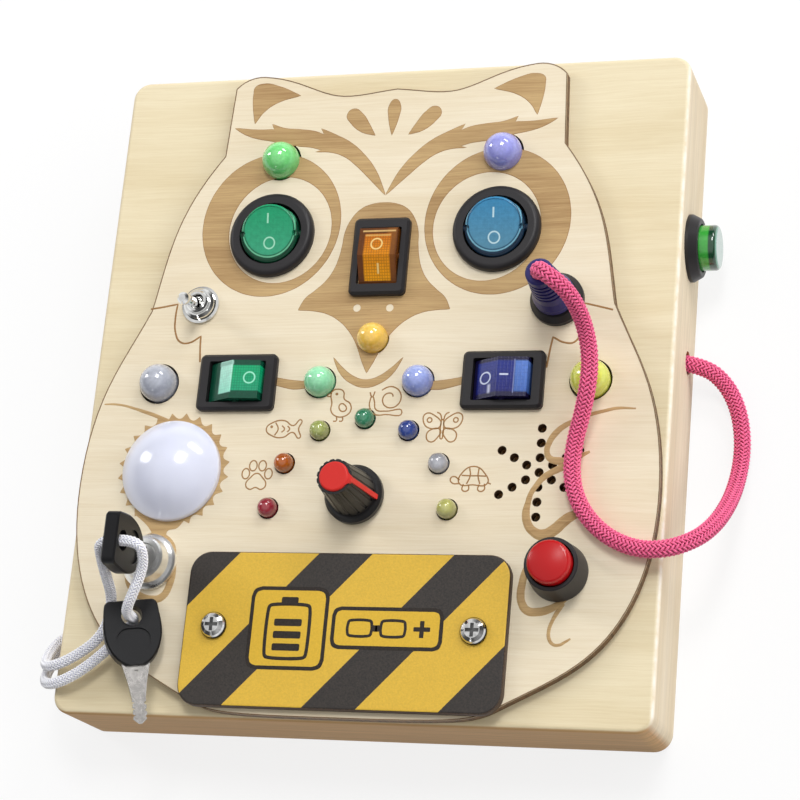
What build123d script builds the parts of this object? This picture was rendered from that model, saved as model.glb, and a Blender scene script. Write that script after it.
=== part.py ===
from build123d import *
import os
from math import cos, pi, radians, sin, tan

os.makedirs("parts", exist_ok=True)

# Wooden busy board: a shallow plywood box with an owl panel on its front, fitted with real
# switches, a toggle, a key lock, a rotary selector, push-buttons, a socket with its plug, lamps,
# a speaker and a battery bay. It lies on its back: the origin is the centre of the back face,
# +X is the owl's left-to-right as seen from the front, +Y points to its ears and +Z out of the
# front. All lengths are millimetres and all angles degrees.

# ---- plywood box -------------------------------------------------------------------------
board_w = 154.0          # across the box
board_h = 174.0          # bottom edge to top edge
board_t = 4.0            # front board
rail_depth = 17.0        # rails between the front board and the back panel
rail_t = 5.0
back_t = 3.0
corner_r = 4.6           # corners of the box, seen from the front
edge_r = 1.2             # softened front edge
owl_t = 3.0              # owl panel glued on the front board
screw_rows = (-50.0, 0.0, 50.0)
wood_screw_r = 1.3
wood_screw_head_r = 2.3
wood_screw_length = 12.0

# ---- owl outline, right half: shares of the board's half width and half height ------------
crown = (0.0, 0.922)
crown_dip = (0.2, 0.907)
ear_inside = (0.487, 0.983)
ear_outside = (0.591, 0.946)
neck = (0.603, 0.721)
cheek = (0.743, 0.489)
waist = (0.805, 0.221)
flank = (0.93, -0.021)
belly = (0.986, -0.31)
thigh = (0.932, -0.62)
hip = (0.774, -0.818)
foot = (0.571, -0.926)
tail = (0.0, -0.994)

# ---- fits and clearances -----------------------------------------------------------------
hole_gap = 0.2           # fixed piece in its hole
seat_gap = 0.05          # fixed pieces that touch
run_gap = 0.06           # radial running fit of a shaft, stem or pin
free_gap = 0.35          # moving piece to what it passes
screw_gap = 0.05
nut_wall = 2.0           # barrel to the flats of the nut behind the wood
back_nut_h = 2.4
side_ring_wall = 0.95    # the side button's round nut, in the corner of the box

# ---- where the fittings sit on the front (x, y) ------------------------------------------
layout_h = 174.0         # the board height that this layout is drawn for
stretch = board_h / layout_h   # a taller board spreads the rows, as it does the owl's outline
eye_x, eye_y = 30.3, 39.5 * stretch
beak_x, beak_y = 0.0, 32.6 * stretch
wing_x, wing_y = 35.2, -1.0 * stretch
toggle_x, toggle_y = -48.1, 20.6 * stretch
jack_x, jack_y = 47.5, 20.0 * stretch
brow_x, brow_y = 30.2, 60.7 * stretch
cheek_lamp_x, cheek_lamp_y = 57.2, -0.8 * stretch
chin_x, chin_y = 13.0, -0.8 * stretch
chin_top_y = 10.7 * stretch
dome_x, dome_y = -50.5, -24.5 * stretch
speaker_x, speaker_y = 45.9, -24.5 * stretch
selector_x, selector_y = -0.5, -30.7 * stretch
led_ring_y = -34.0 * stretch
led_ring_r = 23.4
led_count = 7
red_x, red_y = 52.6, -49.4 * stretch
lock_x, lock_y = -53.6, -48.4 * stretch
plate_margin = 2.2       # bottom edge of the board to the cover plate
side_button_y = 39.0 * stretch
side_button_z = 12.0

# ---- round rocker switches (20 mm hole) --------------------------------------------------
round_bezel_r = 11.5
round_bezel_h = 2.2
round_bezel_edge = 1.4
round_barrel_r = 9.9
round_opening_r = 8.5
round_rocker_r = 7.8
round_rocker_rise = 2.6  # face above the pivot
round_face_r = 7.0
round_face_sink = 0.15

# ---- rectangular rocker switches (19 x 13 mm cut-out) ------------------------------------
rect_bezel_w, rect_bezel_l = 15.0, 21.0
rect_bezel_h = 2.0
rect_bezel_corner = 1.4
rect_body_w, rect_body_l = 12.8, 19.0
rect_opening_w, rect_opening_l = 11.0, 15.4
rect_rocker_w, rect_rocker_l = 10.2, 14.6
rect_ridge = 3.4         # ridge of the rocker above the pivot
rect_facet_angle = 16.0

# ---- shared by all rockers ---------------------------------------------------------------
switch_depth = 14.0      # housing behind the panel's front
rocker_well = 6.5        # depth of the rocker's well
rocker_keel = 2.6        # rocker below the pivot
pivot_h = 0.8            # pivot above the panel's front
pivot_pin_r = 1.0
pivot_bite = 1.0         # pin in the housing's wall
rocker_tilt = 12.0
clip_out = 0.8
clip_w = 4.0
terminal_w, terminal_t, terminal_length = 4.8, 0.8, 7.0

# ---- toggle switch -----------------------------------------------------------------------
toggle_bushing_r = 3.0
toggle_bushing_h = 3.6
toggle_ball_r = 2.2
toggle_pivot_h = 1.2
toggle_lever_length = 11.8
toggle_lever_r = 1.15    # at the ball
toggle_tip_r = 1.55
toggle_tilt = 12.5
toggle_tail = 5.8        # inner end of the lever below its ball's centre
toggle_tail_r = 0.6
toggle_body_w, toggle_body_l, toggle_body_h = 8.0, 13.0, 9.5
toggle_nut_r = 5.05
toggle_nut_h = 2.4
toggle_washer_h = 0.7

# ---- socket, plug and pull cord ----------------------------------------------------------
jack_collar_r = 6.8
jack_collar_h = 3.0
jack_barrel_r = 4.9
jack_depth = 17.0
plug_pin_r = 2.0
plug_pin_length = 16.0
plug_base_r = 5.3
plug_waist_r = 4.6
plug_waist_h = 4.6       # from its foot to the waist
plug_tip_r = 3.5
plug_top = 20.2          # sleeve's end above the panel
plug_rib_count = 5
plug_rib_pitch = 1.7
plug_rib_w = 0.8
plug_rib_depth = 0.35
plug_cord_depth = 3.0    # how far the cord runs into the sleeve
cord_hole_r = 3.0
cord_hole_y = 9.9
cord_hole_z = 7.6

# ---- lamps -------------------------------------------------------------------------------
large_lamp_r = 5.0
large_lamp_rise = 5.6
middle_lamp_r = 4.0
middle_lamp_rise = 4.6
small_lamp_r = 2.5
small_lamp_rise = 3.2
lamp_flange = 0.7
lamp_flange_t = 1.0
small_lamp_length = 8.7
lamp_gap = 0.3
large_lamp_gap = 0.45
lamp_leg = 0.5

# ---- milky dome light --------------------------------------------------------------------
dome_r = 13.2
dome_rise = 8.0
dome_rim = 1.6
dome_wall = 1.4
dome_lip = 1.0           # dome beyond its neck
dome_neck_depth = 9.0
dome_base_t = 1.6
dome_lamp_r, dome_lamp_h = 2.5, 5.0

# ---- rotary selector ---------------------------------------------------------------------
knob_skirt_r = 7.5
knob_skirt_top = 2.8
knob_lift = 0.6          # skirt above the panel
knob_foot_r = 6.1
knob_crown_r = 4.5
knob_h = 16.9
knob_flutes = 16
knob_flute_r = 0.45
pointer_cap_r = 3.75
pointer_cap_t = 1.5
pointer_w = 1.2
pointer_angle = -9.0
shaft_r = 3.0
shaft_top = 13.5
selector_bushing_r = 4.2
selector_nut_r = 5.5
selector_nut_h = 1.9
selector_body_r = 9.0
selector_body_h = 8.5

# ---- push-buttons ------------------------------------------------------------------------
button_travel = 3.0
button_stem_r = 2.4
button_wall = 0.85
button_end_t = 1.2       # closed end of the barrel
button_well = 6.6        # floor of the cap's well below the bezel's seat
button_skirt = 2.2       # cap below the bezel's seat
spring_wire_r = 0.3
spring_coil_r = 3.5
spring_turns = 3.0
red_bezel_r, red_bezel_top_r, red_bezel_h = 7.3, 6.3, 8.2
red_cap_r, red_cap_top = 5.35, 11.2
red_depth = 15.0
side_bezel_r, side_bezel_top_r, side_bezel_h = 8.6, 7.2, 3.0
side_cap_r, side_cap_top = 5.8, 7.4
side_depth = 15.0

# ---- key lock and keys -------------------------------------------------------------------
lock_flange_r = 7.2
lock_flange_h = 1.6
lock_face_r = 5.4
lock_h = 5.5
lock_barrel_r = 5.9
lock_depth = 16.0
lock_plug_r = 3.7
keyway_w, keyway_l = 2.0, 5.6
key_t = 1.8
key_length = 14.4        # blade beyond the bow
key_seat = 1.2           # blade's root in the bow
key_shoulder_w = 7.0     # its root
key_mouth, key_mouth_w = 4.2, 4.8       # where it is about to enter the lock
key_taper, key_w = 8.4, 3.4             # from there to its point it is straight
key_groove_w, key_groove_t = 0.9, 0.35
key_lift = 3.4           # bow above the lock's face
key_cuts = 3
bow_t = 3.7
bow_length = 16.6
bow_w = 14.2
bow_end_w = 13.0
bow_neck_w = 5.0
bow_hole_r = 2.6
bow_hole_in = 4.0        # hole's centre from the bow's free end
bow_sink = 0.45
bow_corner_r = 1.6
bow_rim = 2.9            # round the sunk panel on each side
bow_panel_h, bow_panel_r = 6.4, 3.0
key_hole_r = 3.6         # cord hole in the left rail
key_hole_y = -63.6
key_hole_z = 11.0
spare_x, spare_y = -54.4, -63.9   # the spare key's cord hole
spare_turn = 13.0        # the spare key's lean
spare_roll = 26.0        # one edge of its bow is up on the cord
spare_lift = 3.5         # bow's middle above the panel, less half its thickness

# ---- battery bay and its cover -----------------------------------------------------------
plate_w, plate_h, plate_t = 83.0, 39.0, 2.2
plate_corner = 5.5
plate_screw_x = 33.4
plate_screw_y = 0.5      # above the plate's middle
plate_screw_r = 1.5
plate_screw_head_r = 3.35
plate_screw_head_h = 2.0
plate_screw_length = 8.5
cell_r = 5.25
cell_length = 44.5
cell_count = 3
cell_pitch = 10.7
tray_wall = 1.0
tray_end = 3.2           # room for a contact at each end
tray_depth = 14.0
tray_flange = 2.0
tray_lift = 1.1          # its middle above the plate's middle
contact_w, contact_t = 7.6, 0.8
contact_stud_r = 1.6
contact_cone_r, contact_cone_tip_r = 4.0, 1.8

# ---- speaker and circuit board -----------------------------------------------------------
speaker_hole_r = 1.15
speaker_ring = 3.75
speaker_rings = 3
speaker_arms = 6
speaker_r = 14.0
speaker_h = 8.0
magnet_r = 8.0
cone_cap_r = 3.4         # dust cap in the middle of the cone
cone_cap_h = 2.7
cone_throat_r = 4.6
cone_t = 0.7             # measured along the axis
cone_sink = 0.5          # outer edge below the frame's front
cone_throat_sink = 1.9
circuit_w, circuit_t = 56.0, 1.6
circuit_above_tray = 6.25
circuit_above_selector = 21.9
circuit_drop = 6.4       # under the front board
chip_x, chip_above_selector = -13.5, 10.7

# ---- cords -------------------------------------------------------------------------------
pull_cord_d = 4.0
key_cord_d = 2.6

# ---- sizes worked out from the above -----------------------------------------------------
z_board = back_t + rail_depth
z_front = z_board + board_t
z_panel = z_front + owl_t
wood_t = board_t + owl_t
plate_y = -board_h / 2 + plate_margin + plate_h / 2
tray_y = plate_y + tray_lift
dome_neck_r = dome_r - dome_lip
red_barrel_r = red_cap_r + free_gap + button_wall
side_barrel_r = side_cap_r + free_gap + button_wall
deep = 200.0             # longer than anything that is cut


def rod(radius, low, high):
    """A cylinder about Z from one height to another."""
    return Pos(0, 0, (low + high) / 2) * Cylinder(radius, high - low)


def slab(width, length, low, high, corner=0.0):
    """A plate about Z with rounded corners."""
    outline = RectangleRounded(width, length, corner) if corner else Rectangle(width, length)
    return extrude(Pos(0, 0, low) * outline, high - low)


def slot(width, length, low, high):
    """A straight slot about Z, to be cut away."""
    return Pos(0, 0, (low + high) / 2) * Box(width, length, high - low)


def lathe(points):
    """The solid turned about Z from a closed (radius, height) outline."""
    outline = Polyline(*[(r, 0, z) for r, z in points], close=True)
    return revolve(make_face(outline), Axis.Z, 360)


def hexagon(across_flats, low, high, bore):
    """A hexagonal nut about Z."""
    outline = RegularPolygon(across_flats / 2, 6, major_radius=False) - Circle(bore)
    return extrude(Pos(0, 0, low) * outline, high - low)


def on_panel(x, y, turn=0.0):
    """The place of a fitting whose own z = 0 is the panel's front."""
    return Pos(x, y, z_panel) * Rot(0, 0, turn)


def on_right_side(y, z):
    """The place of a fitting that points out of the right-hand rail."""
    return Pos(board_w / 2, y, z) * Rot(0, 90, 0)


def save(name, *shapes):
    """Write one node, made of one or more separate solids."""
    solids = [solid for shape in shapes for solid in shape.solids()]
    export_step(solids[0] if len(solids) == 1 else Compound(children=solids), f"parts/{name}.step")


# ---- plywood box -------------------------------------------------------------------------
def owl_outline():
    """The owl's outline: the right half as curves, and its mirror image."""
    def at(shares):
        return (shares[0] * board_w / 2, shares[1] * board_h / 2)
    half = [
        Spline(at(crown), at(crown_dip), at(ear_inside), tangents=[(1, -0.1), (1, 0.1)]),
        TangentArc(at(ear_inside), at(ear_outside), tangent=(1, 0.1)),
        Line(at(ear_outside), at(neck)),
        Spline(at(neck), at(cheek), at(waist), tangents=[(0.6, -0.8), (0.2, -1)]),
        Spline(at(waist), at(flank), at(belly), at(thigh), at(hip), at(foot), at(tail),
               tangents=[(0.4, -0.9), (-1, 0)]),
    ]
    return make_face(half + [mirror(edge, Plane.YZ) for edge in half])


def speaker_holes():
    """Places of the grille's holes: one in the middle and straight arms about it."""
    places = [(0.0, 0.0)]
    for arm in range(speaker_arms):
        angle = radians(90 + arm * 360 / speaker_arms)
        for ring in range(1, speaker_rings + 1):
            places.append((ring * speaker_ring * cos(angle), ring * speaker_ring * sin(angle)))
    return places


def indicator_places():
    """Places of the small lamps, on a half circle over the selector."""
    angles = [radians(180 - n * 180 / (led_count - 1)) for n in range(led_count)]
    return [(led_ring_r * cos(a), led_ring_y + led_ring_r * sin(a)) for a in angles]


brow_places = [(-brow_x, brow_y), (brow_x, brow_y)]
cheek_places = [(-cheek_lamp_x, cheek_lamp_y), (cheek_lamp_x, cheek_lamp_y)]
chin_places = [(-chin_x, chin_y), (0.0, chin_top_y), (chin_x, chin_y)]
plate_screw_places = [(-plate_screw_x, plate_y + plate_screw_y), (plate_screw_x, plate_y + plate_screw_y)]
tray_w = cell_length + 2 * tray_end + 2 * tray_wall
tray_h = (cell_count - 1) * cell_pitch + 2 * cell_r + 2 * tray_wall + 2 * hole_gap


def panel_cuts():
    """What is cut through the owl panel and the front board alike."""
    cuts = [Pos(x, y) * Cylinder(large_lamp_r + large_lamp_gap, deep) for x, y in brow_places + cheek_places]
    cuts += [Pos(x, y) * Cylinder(middle_lamp_r + lamp_gap, deep) for x, y in chin_places]
    cuts += [Pos(x, y) * Cylinder(small_lamp_r + lamp_gap, deep) for x, y in indicator_places()]
    cuts += [Pos(side * eye_x, eye_y) * Cylinder(round_barrel_r + hole_gap, deep) for side in (-1, 1)]
    rect = Box(rect_body_w + 2 * hole_gap, rect_body_l + 2 * hole_gap, deep)
    cuts.append(Pos(beak_x, beak_y) * rect)
    cuts += [Pos(side * wing_x, wing_y) * Rot(0, 0, 90) * rect for side in (-1, 1)]
    cuts.append(Pos(toggle_x, toggle_y) * Cylinder(toggle_bushing_r + hole_gap, deep))
    cuts.append(Pos(jack_x, jack_y) * Cylinder(jack_barrel_r + hole_gap, deep))
    cuts.append(Pos(dome_x, dome_y) * Cylinder(dome_neck_r + hole_gap, deep))
    cuts.append(Pos(selector_x, selector_y) * Cylinder(selector_bushing_r + hole_gap, deep))
    cuts.append(Pos(red_x, red_y) * Cylinder(red_barrel_r + hole_gap, deep))
    cuts.append(Pos(lock_x, lock_y) * Cylinder(lock_barrel_r + hole_gap, deep))
    cuts.append(Pos(0, tray_y) * Box(tray_w + 2 * hole_gap, tray_h + 2 * hole_gap, deep))
    cuts += [Pos(x, y) * Cylinder(plate_screw_r + screw_gap, deep) for x, y in plate_screw_places]
    cuts += [Pos(speaker_x + x, speaker_y + y) * Cylinder(speaker_hole_r, deep) for x, y in speaker_holes()]
    return cuts


def front_board():
    sheet = slab(board_w, board_h, z_board, z_front, corner_r)
    sheet = fillet(sheet.edges().group_by(Axis.Z)[-1], edge_r)
    flange_top = z_panel + small_lamp_rise - small_lamp_length + lamp_flange_t
    pockets = [
        Pos(x, y) * rod(small_lamp_r + lamp_flange + lamp_gap, z_board - 1, flange_top + seat_gap)
        for x, y in indicator_places()
    ]
    return sheet - panel_cuts() - pockets


def owl_panel():
    return extrude(Pos(0, 0, z_front) * owl_outline(), owl_t) - panel_cuts()


def rails():
    """The four rails: left and right run the full height, top and bottom fit between them."""
    ring = slab(board_w, board_h, back_t, z_board, corner_r)
    ring -= slab(board_w - 2 * rail_t, board_h - 2 * rail_t, back_t, z_board)
    inner_x = board_w / 2 - rail_t
    side_x = board_w / 2 + rail_t
    pilot = Cylinder(wood_screw_r + screw_gap, 2 * (back_t + wood_screw_length))
    pilots = [Pos(x, y) * pilot for x, y in back_screw_places]
    left = ring & Pos(-side_x, 0) * Box(2 * (side_x - inner_x), deep, deep)
    left -= pilots
    left -= Pos(-board_w / 2, key_hole_y, key_hole_z) * Rot(0, 90, 0) * Cylinder(key_hole_r, 3 * rail_t)
    right = ring & Pos(side_x, 0) * Box(2 * (side_x - inner_x), deep, deep)
    right -= pilots
    right -= Pos(board_w / 2, cord_hole_y, cord_hole_z) * Rot(0, 90, 0) * Cylinder(cord_hole_r, 3 * rail_t)
    right -= on_right_side(side_button_y, side_button_z) * Cylinder(side_barrel_r + hole_gap, 3 * rail_t)
    top = ring & Pos(0, deep / 2) * Box(2 * inner_x, deep, deep)
    bottom = ring & Pos(0, -deep / 2) * Box(2 * inner_x, deep, deep)
    return left, right, top, bottom


def back_panel():
    sheet = slab(board_w, board_h, 0, back_t, corner_r)
    head_h = wood_screw_head_r - wood_screw_r
    hole = lathe([(0, -0.1), (wood_screw_head_r + 0.15, -0.1), (wood_screw_head_r + 0.15, 0.25),
                  (wood_screw_r + 0.15, 0.25 + head_h), (wood_screw_r + 0.15, back_t + 0.1), (0, back_t + 0.1)])
    return sheet - [Pos(x, y) * hole for x, y in back_screw_places]


def back_screw():
    """A countersunk wood screw that points up from just inside the back face."""
    head_h = wood_screw_head_r - wood_screw_r
    screw = lathe([(0, 0.2), (wood_screw_head_r, 0.2), (wood_screw_r, 0.2 + head_h),
                   (wood_screw_r, wood_screw_length - 2), (0, wood_screw_length)])
    slots = Rot(0, 0, 0) * Box(2.6, 0.7, 1.8) + Box(0.7, 2.6, 1.8)
    return screw - slots


back_screw_places = [(side * (board_w / 2 - rail_t / 2), y) for side in (-1, 1) for y in screw_rows]


# ---- rocker switches ---------------------------------------------------------------------
def clips(half_span, turn):
    """The two spring clips that hold a housing behind the front board."""
    bottom = -wood_t - 4.5
    outline = Polyline((half_span - 0.3, bottom), (half_span + clip_out, -wood_t - 0.3),
                       (half_span - 0.3, -wood_t - 0.3),
                       close=True)
    wedge = extrude(Plane.XZ * make_face(outline), clip_w / 2, both=True)
    return [Rot(0, 0, turn + side) * wedge for side in (0, 180)]


def round_housing():
    body = rod(round_bezel_r, 0, round_bezel_h)
    body = fillet(body.edges().group_by(Axis.Z)[-1], round_bezel_edge)
    body += rod(round_barrel_r, -switch_depth, 0)
    body -= rod(round_opening_r, -rocker_well, round_bezel_h + 1)
    pin_hole_length = 2 * (round_opening_r + pivot_bite + 0.2)
    body -= Pos(0, 0, pivot_h) * Rot(0, 90, 0) * Cylinder(pivot_pin_r + run_gap, pin_hole_length)
    for clip in clips(round_barrel_r, 90):
        body += clip
    return body


def round_rocker():
    """A round rocker about its pivot, its far end (+Y) raised."""
    body = rod(round_rocker_r, -rocker_keel, round_rocker_rise)
    body = fillet(body.edges().group_by(Axis.Z)[-1], 0.6)
    body -= rod(round_face_r + 0.25, round_rocker_rise - round_face_sink, round_rocker_rise + 1)
    body += rod(round_face_r, round_rocker_rise - 2 * round_face_sink, round_rocker_rise)
    for side in (-1, 1):
        body -= Pos(side * (round_face_r + 0.2), 0, round_rocker_rise) * Cylinder(0.75, 2.0)
    body += Rot(0, 90, 0) * Cylinder(pivot_pin_r, 2 * (round_opening_r + pivot_bite))
    body += Pos(0, 0, -rocker_keel - 0.6) * Box(4, 5, 1.4)
    return Pos(0, 0, pivot_h) * Rot(rocker_tilt, 0, 0) * body


def rect_housing():
    body = slab(rect_bezel_w, rect_bezel_l, 0, rect_bezel_h, rect_bezel_corner)
    body = chamfer(body.edges().group_by(Axis.Z)[-1], 0.7)
    body += slab(rect_body_w, rect_body_l, -switch_depth, 0)
    body -= slab(rect_opening_w, rect_opening_l, -rocker_well, rect_bezel_h + 1, 0.4)
    pin_hole_length = rect_opening_w + 2 * pivot_bite - 0.1
    body -= Pos(0, 0, pivot_h) * Rot(0, 90, 0) * Cylinder(pivot_pin_r + run_gap, pin_hole_length)
    for clip in clips(rect_body_l / 2, 90):
        body += clip
    return body


def rect_rocker():
    """A ridged rectangular rocker about its pivot, its far end (+Y) raised."""
    half = rect_rocker_l / 2
    end_rise = rect_ridge - half * tan(radians(rect_facet_angle))
    end_in = 0.5
    outline = Polyline((-half + end_in, -rocker_keel), (-half, end_rise), (0, rect_ridge), (half, end_rise),
                       (half - end_in, -rocker_keel), close=True)
    body = extrude(Plane.YZ * make_face(outline), rect_rocker_w / 2, both=True)
    body += Rot(0, 90, 0) * Cylinder(pivot_pin_r, rect_opening_w + 2 * pivot_bite - 0.5)
    body += Pos(0, 0, -rocker_keel - 0.6) * Box(3.6, 4.4, 1.4)
    return Pos(0, 0, pivot_h) * Rot(rocker_tilt, 0, 0) * body


def terminals(spacing):
    """Three blades behind a switch."""
    blade = Box(terminal_t, terminal_w, terminal_length)
    return [Pos(n * spacing, 0, -switch_depth - terminal_length / 2) * blade for n in (-1, 0, 1)]


# ---- toggle switch -----------------------------------------------------------------------
def toggle_body():
    body = slab(toggle_body_w, toggle_body_l, -wood_t - seat_gap - toggle_body_h, -wood_t - seat_gap, 0.5)
    for row in (-4.4, 0, 4.4):
        body += Pos(0, row, -wood_t - toggle_body_h - 1.5) * Box(2.0, 0.8, 3.2)
    return body


def toggle_bushing():
    bushing = rod(toggle_bushing_r, -wood_t - seat_gap + 0.02, toggle_bushing_h)
    bushing = chamfer(bushing.edges().group_by(Axis.Z)[-1], 0.4)
    bore = toggle_ball_r + run_gap
    bushing -= rod(bore, -wood_t - 1, toggle_bushing_h - 0.9)
    bushing -= rod(bore - 0.25, 0, toggle_bushing_h + 1)
    return bushing


def toggle_nut():
    nut = lathe([(toggle_bushing_r + seat_gap, seat_gap), (toggle_nut_r, seat_gap), (toggle_nut_r, toggle_washer_h),
                 (toggle_nut_r - 0.7, toggle_washer_h + 0.1), (toggle_nut_r - 0.9, toggle_nut_h - 0.5),
                 (toggle_nut_r - 1.5, toggle_nut_h), (toggle_bushing_r + seat_gap, toggle_nut_h)])
    return nut


def toggle_lever():
    """The bat-shaped lever about its ball, leaning down the board (-Y)."""
    bat = lathe([(0, 0), (toggle_lever_r, 0), (toggle_lever_r, 2.5), (toggle_tip_r, toggle_lever_length - 1.6),
                 (toggle_tip_r, toggle_lever_length - 0.7), (toggle_tip_r - 0.6, toggle_lever_length),
                 (0, toggle_lever_length)])
    tail = rod(toggle_tail_r, -toggle_tail, 0)
    lever = bat + Sphere(toggle_ball_r) + tail
    return Pos(0, 0, toggle_pivot_h) * Rot(toggle_tilt, 0, 0) * lever


# ---- socket and plug ---------------------------------------------------------------------
def jack_socket():
    bore = plug_pin_r + run_gap
    return lathe([(bore, -jack_depth), (jack_barrel_r, -jack_depth), (jack_barrel_r, 0), (jack_collar_r, 0),
                  (jack_collar_r, 1.6), (jack_collar_r - 1.2, jack_collar_h), (bore, jack_collar_h)])


def plug_sleeve():
    """The moulded sleeve, tapering to the rope, with its grip grooves."""
    low = jack_collar_h + 0.3
    waist = low + plug_waist_h
    sleeve = lathe([(0, low), (plug_base_r - 0.4, low), (plug_base_r, low + 0.6), (plug_base_r, low + 2.4),
                    (plug_waist_r, waist), (plug_tip_r, plug_top - 0.5), (plug_tip_r - 0.5, plug_top), (0, plug_top)])
    taper = (plug_waist_r - plug_tip_r) / (plug_top - 0.5 - waist)
    for rib in range(plug_rib_count):
        height = plug_top - 2.6 - rib * plug_rib_pitch
        bottom = plug_tip_r + taper * (plug_top - 0.5 - height) - plug_rib_depth
        half = plug_rib_w / 2
        sleeve -= lathe([(bottom, height - half), (bottom + 2, height - half), (bottom + 2, height + half),
                         (bottom, height + half)])
    sleeve -= rod(pull_cord_d / 2 + 0.15, plug_top - plug_cord_depth, plug_top + 1)
    sleeve -= rod(plug_pin_r, low - 1, low + 4)
    return sleeve


def plug_pin():
    low = jack_collar_h + 0.3
    end = jack_collar_h - plug_pin_length
    return lathe([(0, end), (plug_pin_r - 0.8, end), (plug_pin_r, end + 1.2), (plug_pin_r, low + 4), (0, low + 4)])


# ---- lamps -------------------------------------------------------------------------------
def lamp(radius, rise, length, leg_length):
    """A light-emitting diode: flange, body, dome and two legs, its dome above the panel."""
    low = rise - length
    body = rod(radius, low, rise - radius) + Pos(0, 0, rise - radius) * Sphere(radius)
    body += rod(radius + lamp_flange, low, low + lamp_flange_t)
    for side in (-1, 1):
        body += Pos(side * 1.27, 0, low - leg_length / 2 + 0.1) * Box(lamp_leg, lamp_leg, leg_length + 0.2)
    return body


def lamp_behind_board(radius, rise):
    """A lamp whose flange rests on the back of the front board."""
    return lamp(radius, rise, rise + wood_t + lamp_flange_t + seat_gap, 4.0)


def cap(radius, rise, rim):
    """A spherical cap on a short upright rim, its edge rounded."""
    ball_r = (radius**2 + (rise - rim) ** 2) / (2 * (rise - rim))
    body = rod(radius, 0, rise) & Pos(0, 0, rise - ball_r) * Sphere(ball_r)
    return fillet(body.edges().filter_by_position(Axis.Z, rim - 0.01, rim + 0.01), 1.2)


def big_dome():
    """The milky dome: a hollow cap with a neck through the wood."""
    shell = cap(dome_r, dome_rise, dome_rim) - cap(dome_r - dome_wall, dome_rise - dome_wall, dome_rim)
    neck = rod(dome_neck_r, -dome_neck_depth, 1.2) - rod(dome_neck_r - dome_wall, -deep, deep)
    return Pos(0, 0, seat_gap) * shell + neck


def dome_base():
    """The cap behind the dome, with its lamp."""
    low = -dome_neck_depth - dome_base_t - seat_gap
    top = -wood_t - seat_gap
    cup = rod(dome_neck_r + 2.0, low, top) - rod(dome_neck_r + seat_gap, low + dome_base_t, top + 1)
    crown_level = low + dome_base_t + dome_lamp_h
    cup += rod(dome_lamp_r, low + dome_base_t - 0.1, crown_level)
    cup += Pos(0, 0, crown_level) * Sphere(dome_lamp_r)
    return cup


# ---- rotary selector ---------------------------------------------------------------------
def knob_slope(height):
    """Radius of the knob's fluted cone at a height."""
    share = (height - knob_skirt_top) / (knob_h - knob_skirt_top)
    return knob_foot_r + share * (knob_crown_r - knob_foot_r)


def knob_pointer():
    """The red cap of the knob with the pointer that runs down its side."""
    cap_low = knob_h - 0.8
    cap = rod(pointer_cap_r, cap_low, knob_h + pointer_cap_t - 0.8)
    cap = fillet(cap.edges().group_by(Axis.Z)[-1], 0.5)
    edge = knob_slope(knob_h) + 0.2
    tapered = Polyline((0.6, pointer_cap_r - 0.05), (edge, pointer_w / 2), (edge, -pointer_w / 2),
                       (0.6, 0.05 - pointer_cap_r), close=True)
    cap += extrude(Pos(0, 0, cap_low) * make_face(tapered), pointer_cap_t - 0.35)
    low = knob_skirt_top
    end = knob_slope(low) + 0.7
    outline = Polyline((knob_slope(low) - 0.6, low), (end, low), (end, low + 0.5),
                       (knob_slope(low) + 0.5, low + 1.2), (knob_slope(knob_h) + 0.2, knob_h + 0.4),
                       (knob_slope(knob_h) - 1.2, knob_h + 0.4), (knob_slope(knob_h) - 1.2, cap_low), close=True)
    fin = extrude(Plane.XZ * make_face(outline), pointer_w / 2, both=True)
    return cap + fin


def selector_knob():
    body = lathe([(0, knob_lift), (knob_skirt_r, knob_lift), (knob_skirt_r, knob_skirt_top - 0.7),
                  (knob_skirt_r - 0.7, knob_skirt_top), (knob_foot_r, knob_skirt_top), (knob_crown_r, knob_h),
                  (0, knob_h)])
    lean = (knob_foot_r - knob_crown_r) / (knob_h - knob_skirt_top)
    for n in range(knob_flutes):
        turn = (n + 0.5) * 360 / knob_flutes
        start = Vector(knob_foot_r + 0.1, 0, knob_skirt_top + 0.9)
        axis = Plane(origin=start, z_dir=(-lean, 0, 1))
        body -= Rot(0, 0, turn) * extrude(axis * Circle(knob_flute_r), knob_h)
    body -= rod(selector_nut_r + free_gap, 0, selector_nut_h + free_gap)
    body -= rod(shaft_r + seat_gap, 0, shaft_top + seat_gap)
    return body - knob_pointer()


def selector_shaft():
    return rod(shaft_r, -wood_t - selector_body_h + 2.0, shaft_top)


def selector_switch():
    low = -wood_t - seat_gap - selector_body_h
    body = rod(selector_body_r, low, -wood_t - seat_gap)
    body += rod(selector_bushing_r, -wood_t - 1, selector_nut_h)
    body -= rod(shaft_r + run_gap, low + 1.6, selector_nut_h + 1)
    return body


# ---- push-buttons ------------------------------------------------------------------------
def button_housing(bezel_r, bezel_top_r, bezel_h, cap_r, barrel_r, depth):
    """A push-button's bezel and barrel with the well of its cap and the guide of its stem."""
    body = lathe([(0, 0), (bezel_r, 0), (bezel_r, 0.8), (bezel_top_r + 0.3, bezel_h - 0.2), (bezel_top_r, bezel_h),
                  (0, bezel_h)])
    body += rod(barrel_r, -depth, 0)
    body -= rod(cap_r + free_gap, -button_well, bezel_h + 1)
    body -= rod(button_stem_r + run_gap, -depth + button_end_t, -button_well + 1)
    for side in (-1, 1):
        body += Pos(side * 2.5, 0, -depth - 1.6) * Box(0.8, 2.4, 3.4)
    return body


def button_cap(cap_r, cap_top, depth):
    cap = rod(cap_r, -button_skirt, cap_top)
    cap = fillet(cap.edges().group_by(Axis.Z)[-1], 1.1)
    stem_end = -depth + button_end_t + button_travel + free_gap
    return cap + rod(button_stem_r, stem_end, -button_skirt + 0.5)


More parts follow.
